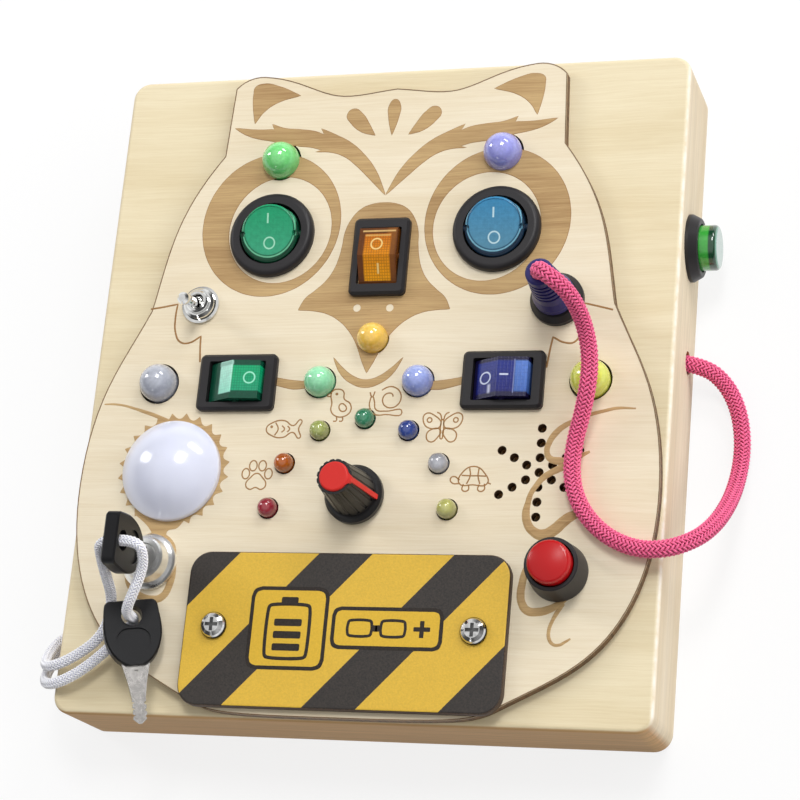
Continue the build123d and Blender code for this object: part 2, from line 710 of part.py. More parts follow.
def button_spring():
    """The coil under a cap, round its stem."""
    low = -button_well + spring_wire_r + seat_gap
    high = -button_skirt - spring_wire_r - seat_gap
    height = high - low
    path = Pos(0, 0, low) * Helix(height / spring_turns, height, spring_coil_r)
    section = Plane(origin=path @ 0, z_dir=path % 0) * RegularPolygon(spring_wire_r, 6)
    return sweep(section, path=path)


# ---- key lock and keys -------------------------------------------------------------------
def lock_barrel():
    barrel = lathe([(0, -lock_depth), (lock_barrel_r, -lock_depth), (lock_barrel_r, 0), (lock_flange_r, 0),
                    (lock_flange_r, lock_flange_h - 0.5), (lock_flange_r - 0.5, lock_flange_h),
                    (lock_face_r + 0.5, lock_flange_h + 0.6), (lock_face_r, lock_h - 0.5), (lock_face_r - 0.5, lock_h),
                    (0, lock_h)])
    return barrel - rod(lock_plug_r + run_gap, -lock_depth + 1.5, lock_h + 1)


def lock_cylinder():
    cylinder = rod(lock_plug_r, -lock_depth + 1.7, lock_h - 0.2)
    cylinder = chamfer(cylinder.edges().group_by(Axis.Z)[-1], 0.3)
    depth = key_length - key_lift + 0.8
    return cylinder - slot(keyway_w, keyway_l, lock_h - depth, lock_h + 1)


def key_blade():
    """The flat blade, tapering from its root, with a groove and cuts; z = 0 is the end of the bow."""
    half, mouth, root, end = key_w / 2, key_mouth_w / 2, key_shoulder_w / 2, 1.2
    right = [(0, key_seat), (root, key_seat), (root, 0.4), (mouth, -key_mouth), (half, -key_taper),
             (half, end - key_length), (0.4, -key_length)]
    left = [(-y, z) for y, z in reversed(right[1:])]
    blade = extrude(Plane.YZ * make_face(Polyline(*right, *left, close=True)), key_t / 2, both=True)
    pitch = (key_length - key_taper - end) / key_cuts
    cut = make_face(Polyline((0.3, -0.7), (-0.5, -0.25), (-0.5, 0.25), (0.3, 0.7), close=True))
    notch = extrude(Plane.YZ * cut, key_t, both=True)
    for n in range(key_cuts):
        height = -key_taper - (n + 0.5) * pitch
        blade -= Pos(0, half, height) * notch
        blade -= Pos(0, -half, height - 0.3 * pitch) * Rot(0, 0, 180) * notch
    groove_length = key_length - 2 * end
    for side in (-1, 1):
        middle = Pos(side * key_t / 2, 0, -end - groove_length / 2)
        blade -= middle * Box(2 * key_groove_t, key_groove_w, groove_length)
    return blade


def bow_outline():
    """The bow seen flat: y across it, z up to its free end."""
    end, wide, neck = bow_end_w / 2, bow_w / 2, bow_neck_w / 2
    side = Spline((end, bow_length), (wide, 0.46 * bow_length), (neck, 0), tangents=[(0.1, -1), (-0.9, -0.5)])
    line_top = Line((end, bow_length), (-end, bow_length))
    line_neck = Line((neck, 0), (-neck, 0))
    face = make_face([side, mirror(side, Plane.YZ), line_top, line_neck])
    return fillet(face.vertices().group_by(Axis.Y)[-1], bow_corner_r)


def key_bow():
    """The moulded bow, with its cord hole, its sunk faces and the seat of the blade."""
    standing = Plane(origin=(0, 0, 0), x_dir=(0, 1, 0), z_dir=(1, 0, 0))
    bow = extrude(standing * bow_outline(), bow_t / 2, both=True)
    bow = chamfer(bow.edges().filter_by(GeomType.BSPLINE), 0.4)
    panel = Pos(0, bow_rim + bow_panel_h / 2) * RectangleRounded(bow_w - 2 * bow_rim, bow_panel_h, bow_panel_r)
    sunk = extrude(standing * panel, bow_sink)
    for side in (-1, 1):
        low = bow_t / 2 - bow_sink if side > 0 else -bow_t / 2
        bow -= Pos(low, 0, 0) * sunk
    bow -= Pos(0, 0, bow_length - bow_hole_in) * Rot(0, 90, 0) * Cylinder(bow_hole_r, 2 * bow_t)
    return bow - slot(key_t, key_shoulder_w, -1, key_seat)


def key_in_lock(shape):
    return Pos(lock_x, lock_y, z_panel + lock_h + key_lift) * shape


def spare_key(shape):
    """The spare key lies on the cord, its cord hole at the stated place and its blade to -Y."""
    flat = Rot(0, 0, 90) * Rot(0, 90, 0) * Pos(0, 0, -bow_length + bow_hole_in) * shape
    lean = Rot(0, 0, spare_turn) * Rot(0, spare_roll, 0)
    return Pos(spare_x, spare_y, z_panel + spare_lift + bow_t / 2) * lean * flat


# ---- battery bay -------------------------------------------------------------------------
def cover_plate():
    plate = slab(plate_w, plate_h, 0, plate_t, plate_corner)
    plate = fillet(plate.edges().group_by(Axis.Z)[-1], 0.6)
    holes = [Pos(x, y - plate_y) * Cylinder(plate_screw_r + 0.2, 4 * plate_t) for x, y in plate_screw_places]
    return plate - holes


def cover_screw():
    """A pan-head screw that seats on the cover plate."""
    top = plate_t + plate_screw_head_h
    head = lathe([(0, plate_t + 0.02), (plate_screw_head_r, plate_t + 0.02), (plate_screw_head_r, plate_t + 0.7),
                  (plate_screw_head_r - 0.5, plate_t + 1.4), (plate_screw_head_r - 1.4, top), (0, top)])
    cross = Pos(0, 0, top) * (Box(3.4, 0.9, 2.2) + Box(0.9, 3.4, 2.2))
    return head - cross + rod(plate_screw_r, -plate_screw_length + plate_t, plate_t + 0.1)


def battery_tray():
    low = -tray_depth
    tray = slab(tray_w, tray_h, low, -0.1)
    tray += slab(tray_w + 2 * tray_flange, tray_h, -wood_t - 1.4, -wood_t - seat_gap)
    tray -= slab(tray_w - 2 * tray_wall, tray_h - 2 * tray_wall, low + tray_wall, 1)
    return tray


def cell_places():
    return [(n - (cell_count - 1) / 2) * cell_pitch for n in range(cell_count)]


def cell():
    """One battery along X, its button end at +X."""
    button = 0.9
    body = lathe([(0, 0), (cell_r, 0), (cell_r, cell_length - button), (2.0, cell_length - button),
                  (2.0, cell_length), (0, cell_length)])
    return Rot(0, 90, 0) * Pos(0, 0, -cell_length / 2) * body


def battery_contacts():
    """A flat contact and a conical spring for each cell, on the tray's end walls."""
    wall_x = cell_length / 2 + tray_end
    shapes = []
    for n, y in enumerate(cell_places()):
        flip = 1 if n % 2 == 0 else -1
        flat = Pos(flip * (wall_x - seat_gap - contact_t / 2), y, 0) * Box(contact_t, contact_w, contact_w)
        stud = tray_end - contact_t - 2 * seat_gap
        reach = cell_length / 2 + seat_gap + stud / 2
        flat += Pos(flip * reach, y, 0) * Rot(0, 90, 0) * Cylinder(contact_stud_r, stud)
        cone = lathe([(0, 0), (contact_cone_r, 0), (contact_cone_r, contact_t),
                      (contact_cone_tip_r, tray_end - 3 * seat_gap), (0, tray_end - 3 * seat_gap)])
        spring = Pos(-flip * (wall_x - seat_gap), y, 0) * Rot(0, 90 if flip > 0 else -90, 0) * cone
        shapes += [flat, spring]
    return shapes


# ---- speaker and circuit board -----------------------------------------------------------
def speaker_frame():
    top = -wood_t - seat_gap
    rim = 1.2
    return lathe([(0, top - speaker_h), (magnet_r, top - speaker_h), (magnet_r, top - speaker_h + 3.5),
                  (speaker_r - 2.5, top - rim - 1.0), (speaker_r, top - rim), (speaker_r, top), (speaker_r - 1.2, top),
                  (speaker_r - 1.2, top - rim), (magnet_r - 1.0, top - speaker_h + 4.6), (0, top - speaker_h + 4.6)])


def speaker_cone():
    top = -wood_t - seat_gap
    edge = speaker_r - 1.2 - seat_gap
    throat = top - cone_throat_sink
    return lathe([(0, throat - cone_t - 0.6), (cone_cap_r, throat - cone_t - 0.6), (cone_throat_r, throat - cone_t),
                  (edge, top - cone_sink - cone_t), (edge, top - cone_sink), (cone_throat_r, throat),
                  (cone_cap_r, throat + cone_t), (0, throat - cone_t - 0.6 + cone_cap_h)])


def circuit_board():
    high = z_board - circuit_drop
    upper = selector_y + circuit_above_selector
    lower = tray_y + tray_h / 2 + circuit_above_tray
    board = Pos(0, (upper + lower) / 2) * slab(circuit_w, upper - lower, high - circuit_t, high, 2.0)
    board -= Pos(selector_x, selector_y) * Cylinder(selector_body_r + 0.6, deep)
    board += Pos(chip_x, selector_y + chip_above_selector, high + 0.9) * Box(7, 5, 2.0)
    return board


# ---- cords -------------------------------------------------------------------------------
def cord(name, points, diameter):
    """A cord as straight runs joined by tangent arcs, each as large as its two runs allow."""
    places = [Vector(*p) for p in points]
    runs = [b - a for a, b in zip(places, places[1:])]
    radii = []
    for before, after in zip(runs, runs[1:]):
        shorter = min(before.length, after.length)
        radii.append(0.45 * shorter / tan(radians(before.get_angle(after)) / 2))
    path = FilletPolyline(*places, radius=radii)
    tube = sweep(Plane(origin=path @ 0, z_dir=path % 0) * Circle(diameter / 2), path=path)
    share = tube.volume / (pi * diameter**2 / 4 * path.length)
    print(f"{name}: length {path.length:.1f} mm, volume / (section x length) {share:.3f}")
    print("  radii " + " ".join(f"{radius:.1f}" for radius in radii))
    return tube


pull_cord_top = z_panel + plug_top - plug_cord_depth
pull_cord_points = [
    (jack_x, jack_y, pull_cord_top + 0.02), (jack_x, jack_y, 49.8), (51.5, 16.9, 52.7), (55.3, 14.2, 49.6),
    (57.2, 11.4, 43.0), (58.2, 7.0, 37.6), (58.8, 1.2, 35.3), (58.5, -5.2, 34.7), (56.9, -11.2, 31.9),
    (55.0, -17.4, 29.8), (54.4, -24.2, 29.3), (55.8, -31.0, 29.3), (59.6, -37.0, 29.3), (65.2, -41.6, 29.3),
    (72.2, -44.2, 29.5), (79.2, -43.8, 28.9), (84.8, -40.6, 25.4), (88.0, -35.6, 20.0), (89.6, -29.6, 13.6),
    (90.4, -23.0, 7.4), (90.9, -15.6, 3.2), (90.9, -8.2, 2.4), (89.5, -0.8, 2.4), (86.3, 5.6, 3.6),
    (81.0, 9.6, 6.4), (73.4, 10.4, 7.6),
]
key_cord_points = [
    (-72.0, -63.4, 12.5), (-78.9, -63.8, 12.5), (-82.0, -67.0, 15.0), (-82.2, -71.6, 19.4), (-80.2, -75.3, 24.4),
    (-75.6, -75.6, 27.4), (-69.6, -72.6, 27.7), (-64.0, -68.6, 28.5), (-61.8, -62.6, 28.6), (-61.2, -57.7, 30.9),
    (-60.5, -54.4, 37.2), (-59.6, -51.0, 43.4), (-58.2, -48.4, 48.5), (-47.6, -48.4, 48.5), (-47.4, -52.1, 44.5),
    (-48.8, -55.7, 42.6), (-50.4, -59.4, 41.6), (-52.6, -62.6, 39.4), (-54.2, -63.8, 35.9), (-54.4, -63.9, 28.6),
    (-61.2, -71.2, 28.6), (-68.0, -76.8, 28.0), (-74.4, -80.0, 27.4), (-79.4, -79.9, 24.4), (-82.1, -76.4, 19.4),
    (-82.4, -71.0, 14.0), (-81.0, -66.2, 10.2), (-77.0, -63.8, 9.5), (-72.0, -63.8, 9.5),
]

# ---- build every node --------------------------------------------------------------------
save("front_board", front_board())
save("owl_panel", owl_panel())
rail_left, rail_right, rail_top, rail_bottom = rails()
save("rail_left", rail_left)
save("rail_right", rail_right)
save("rail_top", rail_top)
save("rail_bottom", rail_bottom)
save("back_panel", back_panel())
save("back_screws", *[Pos(x, y) * back_screw() for x, y in back_screw_places])

left_eye, right_eye = on_panel(-eye_x, eye_y), on_panel(eye_x, eye_y)
beak = on_panel(beak_x, beak_y)
left_wing, right_wing = on_panel(-wing_x, wing_y, -90), on_panel(wing_x, wing_y, -90)
save("left_eye_housing", left_eye * round_housing())
save("right_eye_housing", right_eye * round_housing())
save("left_eye_rocker", left_eye * round_rocker())
save("right_eye_rocker", right_eye * round_rocker())
save("beak_housing", beak * rect_housing())
save("beak_rocker", beak * rect_rocker())
save("left_wing_housing", left_wing * rect_housing())
save("right_wing_housing", right_wing * rect_housing())
save("left_wing_rocker", left_wing * rect_rocker())
save("right_wing_rocker", right_wing * rect_rocker())
round_terminals = [place * blade for place in (left_eye, right_eye) for blade in terminals(5.5)]
rect_terminals = [place * blade for place in (beak, left_wing, right_wing) for blade in terminals(4.2)]
save("switch_terminals", *round_terminals, *rect_terminals)

toggle_place = on_panel(toggle_x, toggle_y)
save("toggle_body", toggle_place * toggle_body())
save("toggle_bushing", toggle_place * toggle_bushing())
save("toggle_nut", toggle_place * toggle_nut())
save("toggle_lever", toggle_place * toggle_lever())

jack_place = on_panel(jack_x, jack_y)
save("jack_socket", jack_place * jack_socket())
save("plug_sleeve", jack_place * plug_sleeve())
save("plug_pin", jack_place * plug_pin())
save("pull_cord", cord("pull_cord", pull_cord_points, pull_cord_d))

large_lamp = lamp_behind_board(large_lamp_r, large_lamp_rise)
middle_lamp = lamp_behind_board(middle_lamp_r, middle_lamp_rise)
led_leg = z_panel + small_lamp_rise - small_lamp_length - (z_board - circuit_drop)
small_lamp = lamp(small_lamp_r, small_lamp_rise, small_lamp_length, led_leg - seat_gap)
save("brow_lamps", *[on_panel(x, y) * large_lamp for x, y in brow_places])
save("cheek_lamps", *[on_panel(x, y) * large_lamp for x, y in cheek_places])
save("chin_lamps", *[on_panel(x, y) * middle_lamp for x, y in chin_places])
save("indicator_leds", *[on_panel(x, y) * small_lamp for x, y in indicator_places()])
save("big_dome", on_panel(dome_x, dome_y) * big_dome())
save("dome_base", on_panel(dome_x, dome_y) * dome_base())

selector_place = on_panel(selector_x, selector_y)
pointing = on_panel(selector_x, selector_y, pointer_angle)
save("selector_switch", selector_place * selector_switch())
save("selector_shaft", selector_place * selector_shaft())
save("selector_knob", pointing * selector_knob())
save("knob_pointer", pointing * knob_pointer())

red_place = on_panel(red_x, red_y)
side_place = on_right_side(side_button_y, side_button_z)
red_sizes = (red_bezel_r, red_bezel_top_r, red_bezel_h, red_cap_r, red_barrel_r, red_depth)
side_sizes = (side_bezel_r, side_bezel_top_r, side_bezel_h, side_cap_r, side_barrel_r, side_depth)
save("red_button_housing", red_place * button_housing(*red_sizes))
save("red_button_cap", red_place * button_cap(red_cap_r, red_cap_top, red_depth))
save("red_button_spring", red_place * button_spring())
save("side_button_housing", side_place * button_housing(*side_sizes))
save("side_button_cap", side_place * button_cap(side_cap_r, side_cap_top, side_depth))
save("side_button_spring", side_place * button_spring())

behind = -wood_t - seat_gap
panel_nuts = [
    selector_place * hexagon(2 * selector_nut_r * cos(radians(30)), seat_gap, selector_nut_h - 0.1,
                             selector_bushing_r + seat_gap),
    jack_place * hexagon(2 * (jack_barrel_r + nut_wall), behind - back_nut_h, behind, jack_barrel_r + seat_gap),
    on_panel(lock_x, lock_y) * hexagon(2 * (lock_barrel_r + nut_wall), behind - back_nut_h, behind,
                                       lock_barrel_r + seat_gap),
    red_place * hexagon(2 * (red_barrel_r + nut_wall), behind - back_nut_h, behind, red_barrel_r + seat_gap),
    side_place * (rod(side_barrel_r + side_ring_wall, -rail_t - back_nut_h, -rail_t - seat_gap)
                  - rod(side_barrel_r + seat_gap, -deep, deep)),
]
save("panel_nuts", *panel_nuts)

save("lock_barrel", on_panel(lock_x, lock_y) * lock_barrel())
save("lock_cylinder", on_panel(lock_x, lock_y) * lock_cylinder())
save("key_blade", key_in_lock(key_blade()))
save("key_bow", key_in_lock(key_bow()))
save("spare_key_blade", spare_key(key_blade()))
save("spare_key_bow", spare_key(key_bow()))
save("key_cord", cord("key_cord", key_cord_points, key_cord_d))

save("cover_plate", on_panel(0, plate_y) * cover_plate())
save("cover_screws", *[on_panel(x, y) * cover_screw() for x, y in plate_screw_places])
save("battery_tray", on_panel(0, tray_y) * battery_tray())
cell_level = -tray_depth + tray_wall + cell_r + 0.1
save("batteries", *[on_panel(0, tray_y) * Pos(0, y, cell_level) * Rot(0, 0, 180 * (n % 2)) * cell()
                    for n, y in enumerate(cell_places())])
contact_place = on_panel(0, tray_y) * Pos(0, 0, cell_level)
save("battery_contacts", *[contact_place * contact for contact in battery_contacts()])
save("speaker_frame", on_panel(speaker_x, speaker_y) * speaker_frame())
save("speaker_cone", on_panel(speaker_x, speaker_y) * speaker_cone())
save("circuit_board", circuit_board())
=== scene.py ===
"""Studio scene of the wooden owl busy board: its solids dressed with wood, plastic, metal, marks and cords."""

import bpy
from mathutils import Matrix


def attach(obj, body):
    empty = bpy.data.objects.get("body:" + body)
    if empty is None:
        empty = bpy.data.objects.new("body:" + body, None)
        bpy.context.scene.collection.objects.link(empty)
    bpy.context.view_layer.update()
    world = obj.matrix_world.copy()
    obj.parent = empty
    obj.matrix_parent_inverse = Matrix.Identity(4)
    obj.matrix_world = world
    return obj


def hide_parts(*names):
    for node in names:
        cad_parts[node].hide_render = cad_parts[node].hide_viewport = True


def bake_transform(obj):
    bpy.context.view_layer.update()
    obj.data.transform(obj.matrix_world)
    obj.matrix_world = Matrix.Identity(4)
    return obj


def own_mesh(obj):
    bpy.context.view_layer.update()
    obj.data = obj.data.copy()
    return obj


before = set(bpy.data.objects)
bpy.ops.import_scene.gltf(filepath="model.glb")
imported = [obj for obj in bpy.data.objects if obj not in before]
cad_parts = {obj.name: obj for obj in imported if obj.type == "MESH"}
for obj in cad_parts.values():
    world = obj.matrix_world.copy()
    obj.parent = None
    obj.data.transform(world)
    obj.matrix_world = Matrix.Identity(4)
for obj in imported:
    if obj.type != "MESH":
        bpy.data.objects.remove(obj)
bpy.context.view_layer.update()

import logging
import math
from dataclasses import dataclass
from enum import Enum
from functools import partial, reduce
from typing import Iterable, Optional, Sequence, Union

import bmesh
import bpy
from mathutils import Matrix, Vector

logging.basicConfig(level=logging.INFO, format="%(name)s: %(message)s")
log = logging.getLogger("owl board")

MM = 0.001
WELD = 1e-6  # metres between vertices that are one
Point = tuple[float, ...]
Socket = bpy.types.NodeSocket
Piece = bpy.types.Object
Mesh = bmesh.types.BMesh
Value = Union[Socket, float, Sequence[float]]


def shade(code: str, share: float = 1.0) -> Point:
    """A screen colour, by its hex code, as Blender's linear one at a share of its light."""
    screen = (int(code[start:start + 2], 16) / 255 for start in (0, 2, 4))
    return (*(share * (part / 12.92 if part <= 0.04045 else ((part + 0.055) / 1.055) ** 2.4) for part in screen), 1.0)


class Level(Enum):
    """Heights of the board's faces above its back, in millimetres."""
    PANEL = 27.0
    PLATE = 29.2


# ---- node wiring ---------------------------------------------------------------------------
class Wiring:
    """A node tree that is being built."""

    def __init__(self, tree: bpy.types.NodeTree) -> None:
        """Starts wiring in a tree."""
        self.tree = tree

    def fill(self, node: bpy.types.Node, values: dict) -> bpy.types.Node:
        """Links a node's inputs or sets their plain values, by name or number; returns the node."""
        for key, value in values.items():
            if isinstance(value, Socket):
                self.tree.links.new(value, node.inputs[key])
            else:
                node.inputs[key].default_value = value
        return node

    def node(self, kind: str, values: Optional[dict] = None, **settings: object) -> bpy.types.Node:
        """Adds a node.

        Args:
            kind: the node's type without "ShaderNode".
            values: what goes in its inputs, by name or number.
            settings: the node's own properties.

        Returns:
            The node.
        """
        made = self.tree.nodes.new("ShaderNode" + kind)
        for key, value in settings.items():
            setattr(made, key, value)
        return self.fill(made, values or {})

    def math(self, operation: str, *values: Value, clamp: bool = False) -> Socket:
        """One sum on numbers."""
        return self.node("Math", dict(enumerate(values)), operation=operation, use_clamp=clamp).outputs[0]

    def product(self, *values: Value) -> Socket:
        """Numbers multiplied."""
        return reduce(partial(self.math, "MULTIPLY"), values)

    def line(self, value: Value, factor: Value, offset: Value, clamp: bool = False) -> Socket:
        """A number times a factor, plus an offset."""
        return self.math("MULTIPLY_ADD", value, factor, offset, clamp=clamp)

    def vector(self, operation: str, *values: Value) -> Socket:
        """One sum on vectors."""
        return self.node("VectorMath", dict(enumerate(values)), operation=operation).outputs[0]

    def join(self, *parts: Value) -> Socket:
        """A vector from its parts."""
        return self.node("CombineXYZ", dict(enumerate(parts))).outputs[0]

    def parts(self, vector: Value) -> tuple[Socket, ...]:
        """A vector's x, y and z."""
        return tuple(self.node("SeparateXYZ", {0: vector}).outputs)

    def noise(self, vector: Value, scale: Value, detail: float = 3.0, rough: float = 0.6) -> Socket:
        """Soft noise, 0 to 1, at one scale or at one for each direction."""
        if isinstance(scale, tuple):
            vector, scale = self.vector("MULTIPLY", vector, scale), 1.0
        values = {"Vector": vector, "Scale": scale, "Detail": detail, "Roughness": rough}
        return self.node("TexNoise", values).outputs["Fac"]

    def rise(self, value: Value, low: float, high: float) -> Socket:
        """A mask that goes from 0 at low to 1 at high."""
        values = {"Value": value, "From Min": low, "From Max": high}
        return self.node("MapRange", values, clamp=True).outputs["Result"]

    def fade(self, value: Value, low: float, high: float) -> Socket:
        """A mask that goes from 1 at low to 0 at high."""
        return self.math("SUBTRACT", 1.0, self.rise(value, low, high))

    def blend(self, mask: Value, first: Value, second: Value, how: str = "MIX") -> Socket:
        """Two colours mixed by a mask."""
        values = {0: mask, 6: first, 7: second}
        return self.node("Mix", values, data_type="RGBA", blend_type=how).outputs[2]

    def off(self, value: Value, middle: float) -> Socket:
        """How far a value is from a middle one."""
        return self.math("ABSOLUTE", self.math("SUBTRACT", value, middle))

    def box(self, axes: Sequence[Value], middle: Point, half: Point, soft: float) -> Socket:
        """A mask that is 1 inside a box."""
        return self.product(*(self.fade(self.off(axis, centre), size - soft, size + soft)
                              for axis, centre, size in zip(axes, middle, half)))


class Group(Wiring):
    """A shader node group with named inputs and outputs."""

    def __init__(self, name: str, inputs: dict[str, tuple[str, object]], outputs: dict[str, str]) -> None:
        """Makes the group's tree and its sockets."""
        super().__init__(bpy.data.node_groups.new(name, "ShaderNodeTree"))
        for label, (kind, value) in inputs.items():
            socket = self.tree.interface.new_socket(label, in_out="INPUT", socket_type="NodeSocket" + kind)
            if value is not None:
                socket.default_value = value
        for label, kind in outputs.items():
            self.tree.interface.new_socket(label, in_out="OUTPUT", socket_type="NodeSocket" + kind)
        self.given = self.tree.nodes.new("NodeGroupInput").outputs
        self.result = self.tree.nodes.new("NodeGroupOutput")


def make_grain() -> bpy.types.NodeTree:
    """The grain of birch ply: fine streaks along x, faint bands and short pores.

    The sides of a sheet show its layers, as streaks that run along each side.
    """
    group = Group("birch grain", {
        "Place": ("Vector", None), "Light": ("Color", shade("e4d6ba")), "Dark": ("Color", shade("cdb894")),
        "Contrast": ("Float", 1.0)}, {"Color": "Color", "Height": "Float", "End": "Float", "Side": "Float"})
    place = group.given["Place"]
    x, y, z = group.parts(place)
    out_x, out_y, _ = group.parts(group.node("TexCoord").outputs["Normal"])
    side = group.rise(group.math("ABSOLUTE", out_x), 0.45, 0.75)
    place = group.node("Mix", {0: side, 4: place, 5: group.join(y, x, z)}, data_type="VECTOR").outputs[1]
    warp = group.noise(place, (0.015, 0.06, 0.06), 2.0, 0.5)
    wavy = group.vector("ADD", place, group.join(0.0, group.product(warp, 5.0)))
    streaks = group.noise(wavy, (0.05, 1.9, 1.9), 4.0, 0.7)
    threads = group.noise(wavy, (0.10, 5.5, 5.5), 3.0, 0.7)
    bands = group.noise(wavy, (0.012, 0.09, 0.09), 3.0, 0.55)
    pores = group.rise(group.noise(place, (0.22, 5.0, 5.0), 2.0), 0.62, 0.76)
    tone: Value = 0.0
    for mask, weight in ((group.rise(streaks, 0.36, 0.70), 0.38), (group.rise(bands, 0.36, 0.66), 0.42),
                         (group.rise(threads, 0.42, 0.66), 0.22), (pores, 0.25)):
        tone = group.line(mask, weight, tone)
    tone = group.math("MULTIPLY", tone, group.given["Contrast"], clamp=True)
    group.fill(group.result, {
        "Color": group.blend(tone, group.given["Light"], group.given["Dark"]),
        "Height": group.line(pores, -0.6, streaks),
        "End": group.fade(out_y, -0.75, -0.45),
        "Side": group.math("MAXIMUM", side, group.rise(out_y, 0.45, 0.75))})
    return group.tree


def make_speckle() -> bpy.types.NodeTree:
    """Fine speckle and faint smudges of a moulded or printed face."""
    group = Group("fine speckle", {
        "Place": ("Vector", None), "Color": ("Color", shade("3c3a3c")), "Size": ("Float", 0.2),
        "Amount": ("Float", 0.1)}, {"Color": "Color", "Smudge": "Float", "Height": "Float"})
    place = group.given["Place"]
    fine = group.noise(place, group.math("DIVIDE", 1.0, group.given["Size"]), 2.0, 0.5)
    tone = group.line(group.math("SUBTRACT", fine, 0.5), group.given["Amount"], 1.0)
    group.fill(group.result, {
        "Color": group.blend(1.0, group.given["Color"], group.join(tone, tone, tone), "MULTIPLY"),
        "Smudge": group.noise(place, 0.11),
        "Height": fine})
    return group.tree


GRAIN = make_grain()
SPECKLE = make_speckle()


# ---- finishes ------------------------------------------------------------------------------
class Skin(Wiring):
    """A finish's material in the making, with its shader and the place on the board in millimetres."""

    def __init__(self, finish: "Finish") -> None:
        """Starts the material with the finish's colour and roughness."""
        self.finish = finish
        self.material = bpy.data.materials.new(finish.name)
        self.material.use_nodes = True
        super().__init__(self.material.node_tree)
        self.shader = self.tree.nodes["Principled BSDF"]
        self.place = self.vector("MULTIPLY", self.node("TexCoord").outputs["Object"], (1 / MM, 1 / MM, 1 / MM))
        self.x, self.y, self.z = self.parts(self.place)
        self.set({"Base Color": shade(finish.colour), "Roughness": finish.roughness})

    def set(self, values: dict[str, Value]) -> None:
        """Fills the shader's inputs."""
        self.fill(self.shader, values)

    def far(self, point: Point) -> Socket:
        """The distance from a point of the board."""
        values = {0: self.join(self.x, self.y), 1: (*point, 0.0)}
        return self.node("VectorMath", values, operation="DISTANCE").outputs["Value"]

    def relief(self, height: Value, strength: float, distance: float) -> None:
        """Gives the surface a fine relief."""
        bump = self.node("Bump", {"Strength": strength, "Distance": distance, "Height": height})
        self.set({"Normal": bump.outputs[0]})

    def soften(self, weight: float) -> None:
        """Lets light scatter under the surface."""
        if weight:
            self.set({"Subsurface Weight": weight, "Subsurface Radius": (1.0, 1.0, 1.0), "Subsurface Scale": 2 * MM})

    def speckle(self, size: float, amount: Value, bump: float = 0.0, colour: Optional[Value] = None) -> None:
        """Colours the shader through the speckle group, with smudged gloss and a fine relief.

        Args:
            size: the speckle's size in millimetres.
            amount: how strong it is in the colour.
            bump: how strong it is in the relief.
            colour: a colour to use in place of the finish's own.
        """
        smudging = 0.16
        made = self.node("Group", {
            "Place": self.place, "Color": shade(self.finish.colour) if colour is None else colour, "Size": size,
            "Amount": amount}, node_tree=SPECKLE)
        gloss = self.line(made.outputs["Smudge"], smudging, self.finish.roughness - smudging / 2, clamp=True)
        self.set({"Base Color": made.outputs["Color"], "Roughness": gloss})
        if bump:
            self.relief(made.outputs["Height"], bump, 0.05 * MM)


@dataclass(frozen=True)
class Finish:
    """A finish: how one kind of surface is coloured and how it shines."""
    name: str
    colour: str
    roughness: float = 0.4
    slot: str = ""

    def material(self) -> bpy.types.Material:
        """The finish's material."""
        skin = Skin(self)
        self.paint(skin)
        return skin.material

    def paint(self, skin: Skin) -> None:
        """Wires the material; each kind of finish has its own way."""
        raise NotImplementedError


@dataclass(frozen=True)
class Wood(Finish):
    """Birch ply, whose cut edges may be browned, with a painted highlight along its right front edge.

    The lower end is darker, partly as a browned cut and partly as painted shade, and the sides and the upper end are
    lighter, as painted light. Below a height all edges are burnt.
    """
    dark: str = "cdb894"
    contrast: float = 1.0
    # painted shade with a browned cut on the lower end, painted light on the sides and upper end
    end_burn_and_shade: Point = (1.0, 1.0, 1.0, 1.0)
    side_painted_light: Point = (1.0, 1.0, 1.0, 1.0)
    burnt_below: float = -100.0
    burnt: str = "785a3c"
    edge_highlight: float = 0.0

    def paint(self, skin: Skin) -> None:
        """The wood."""
        grain = skin.node("Group", {
            "Place": skin.place, "Light": shade(self.colour), "Dark": shade(self.dark),
            "Contrast": self.contrast}, node_tree=GRAIN)
        colour = grain.outputs["Color"]
        layers = skin.rise(skin.noise(skin.place, (0.03, 0.03, 1.1), 3.0, 0.7), 0.35, 0.62)
        # darkens the lower end, partly as a browned cut and partly as painted shade, and lightens the sides and upper
        # end as painted light
        for mask, tint, depth in (("End", self.end_burn_and_shade, 0.82), ("Side", self.side_painted_light, 0.90)):
            deeper = (*(depth * part for part in tint[:3]), 1.0)
            tinted = skin.blend(1.0, colour, skin.blend(layers, tint, deeper), "MULTIPLY")
            colour = skin.blend(grain.outputs[mask], colour, tinted)
        # painted highlight: a pale, patchy line along the board's right front edge
        if self.edge_highlight:
            corner = skin.box((skin.x, skin.z), (77.0, 24.0), (0.8, 0.7), 0.4)
            patchy = skin.rise(skin.noise(skin.place, 0.25), 0.30, 0.62)
            gleam_mask = skin.product(skin.rise(skin.x, 75.8, 76.4), corner, patchy, self.edge_highlight)
            colour = skin.blend(gleam_mask, colour, shade("fcf8f0"))
        streak = skin.rise(skin.noise(skin.place, (1.2, 1.2, 0.25)), 0.35, 0.65)
        char = skin.blend(streak, shade(self.burnt), shade(self.burnt, 0.45))
        edge = skin.fade(skin.z, self.burnt_below - 0.12, self.burnt_below)
        skin.set({"Base Color": skin.blend(edge, colour, char)})
        skin.relief(grain.outputs["Height"], 0.25, 0.1 * MM)


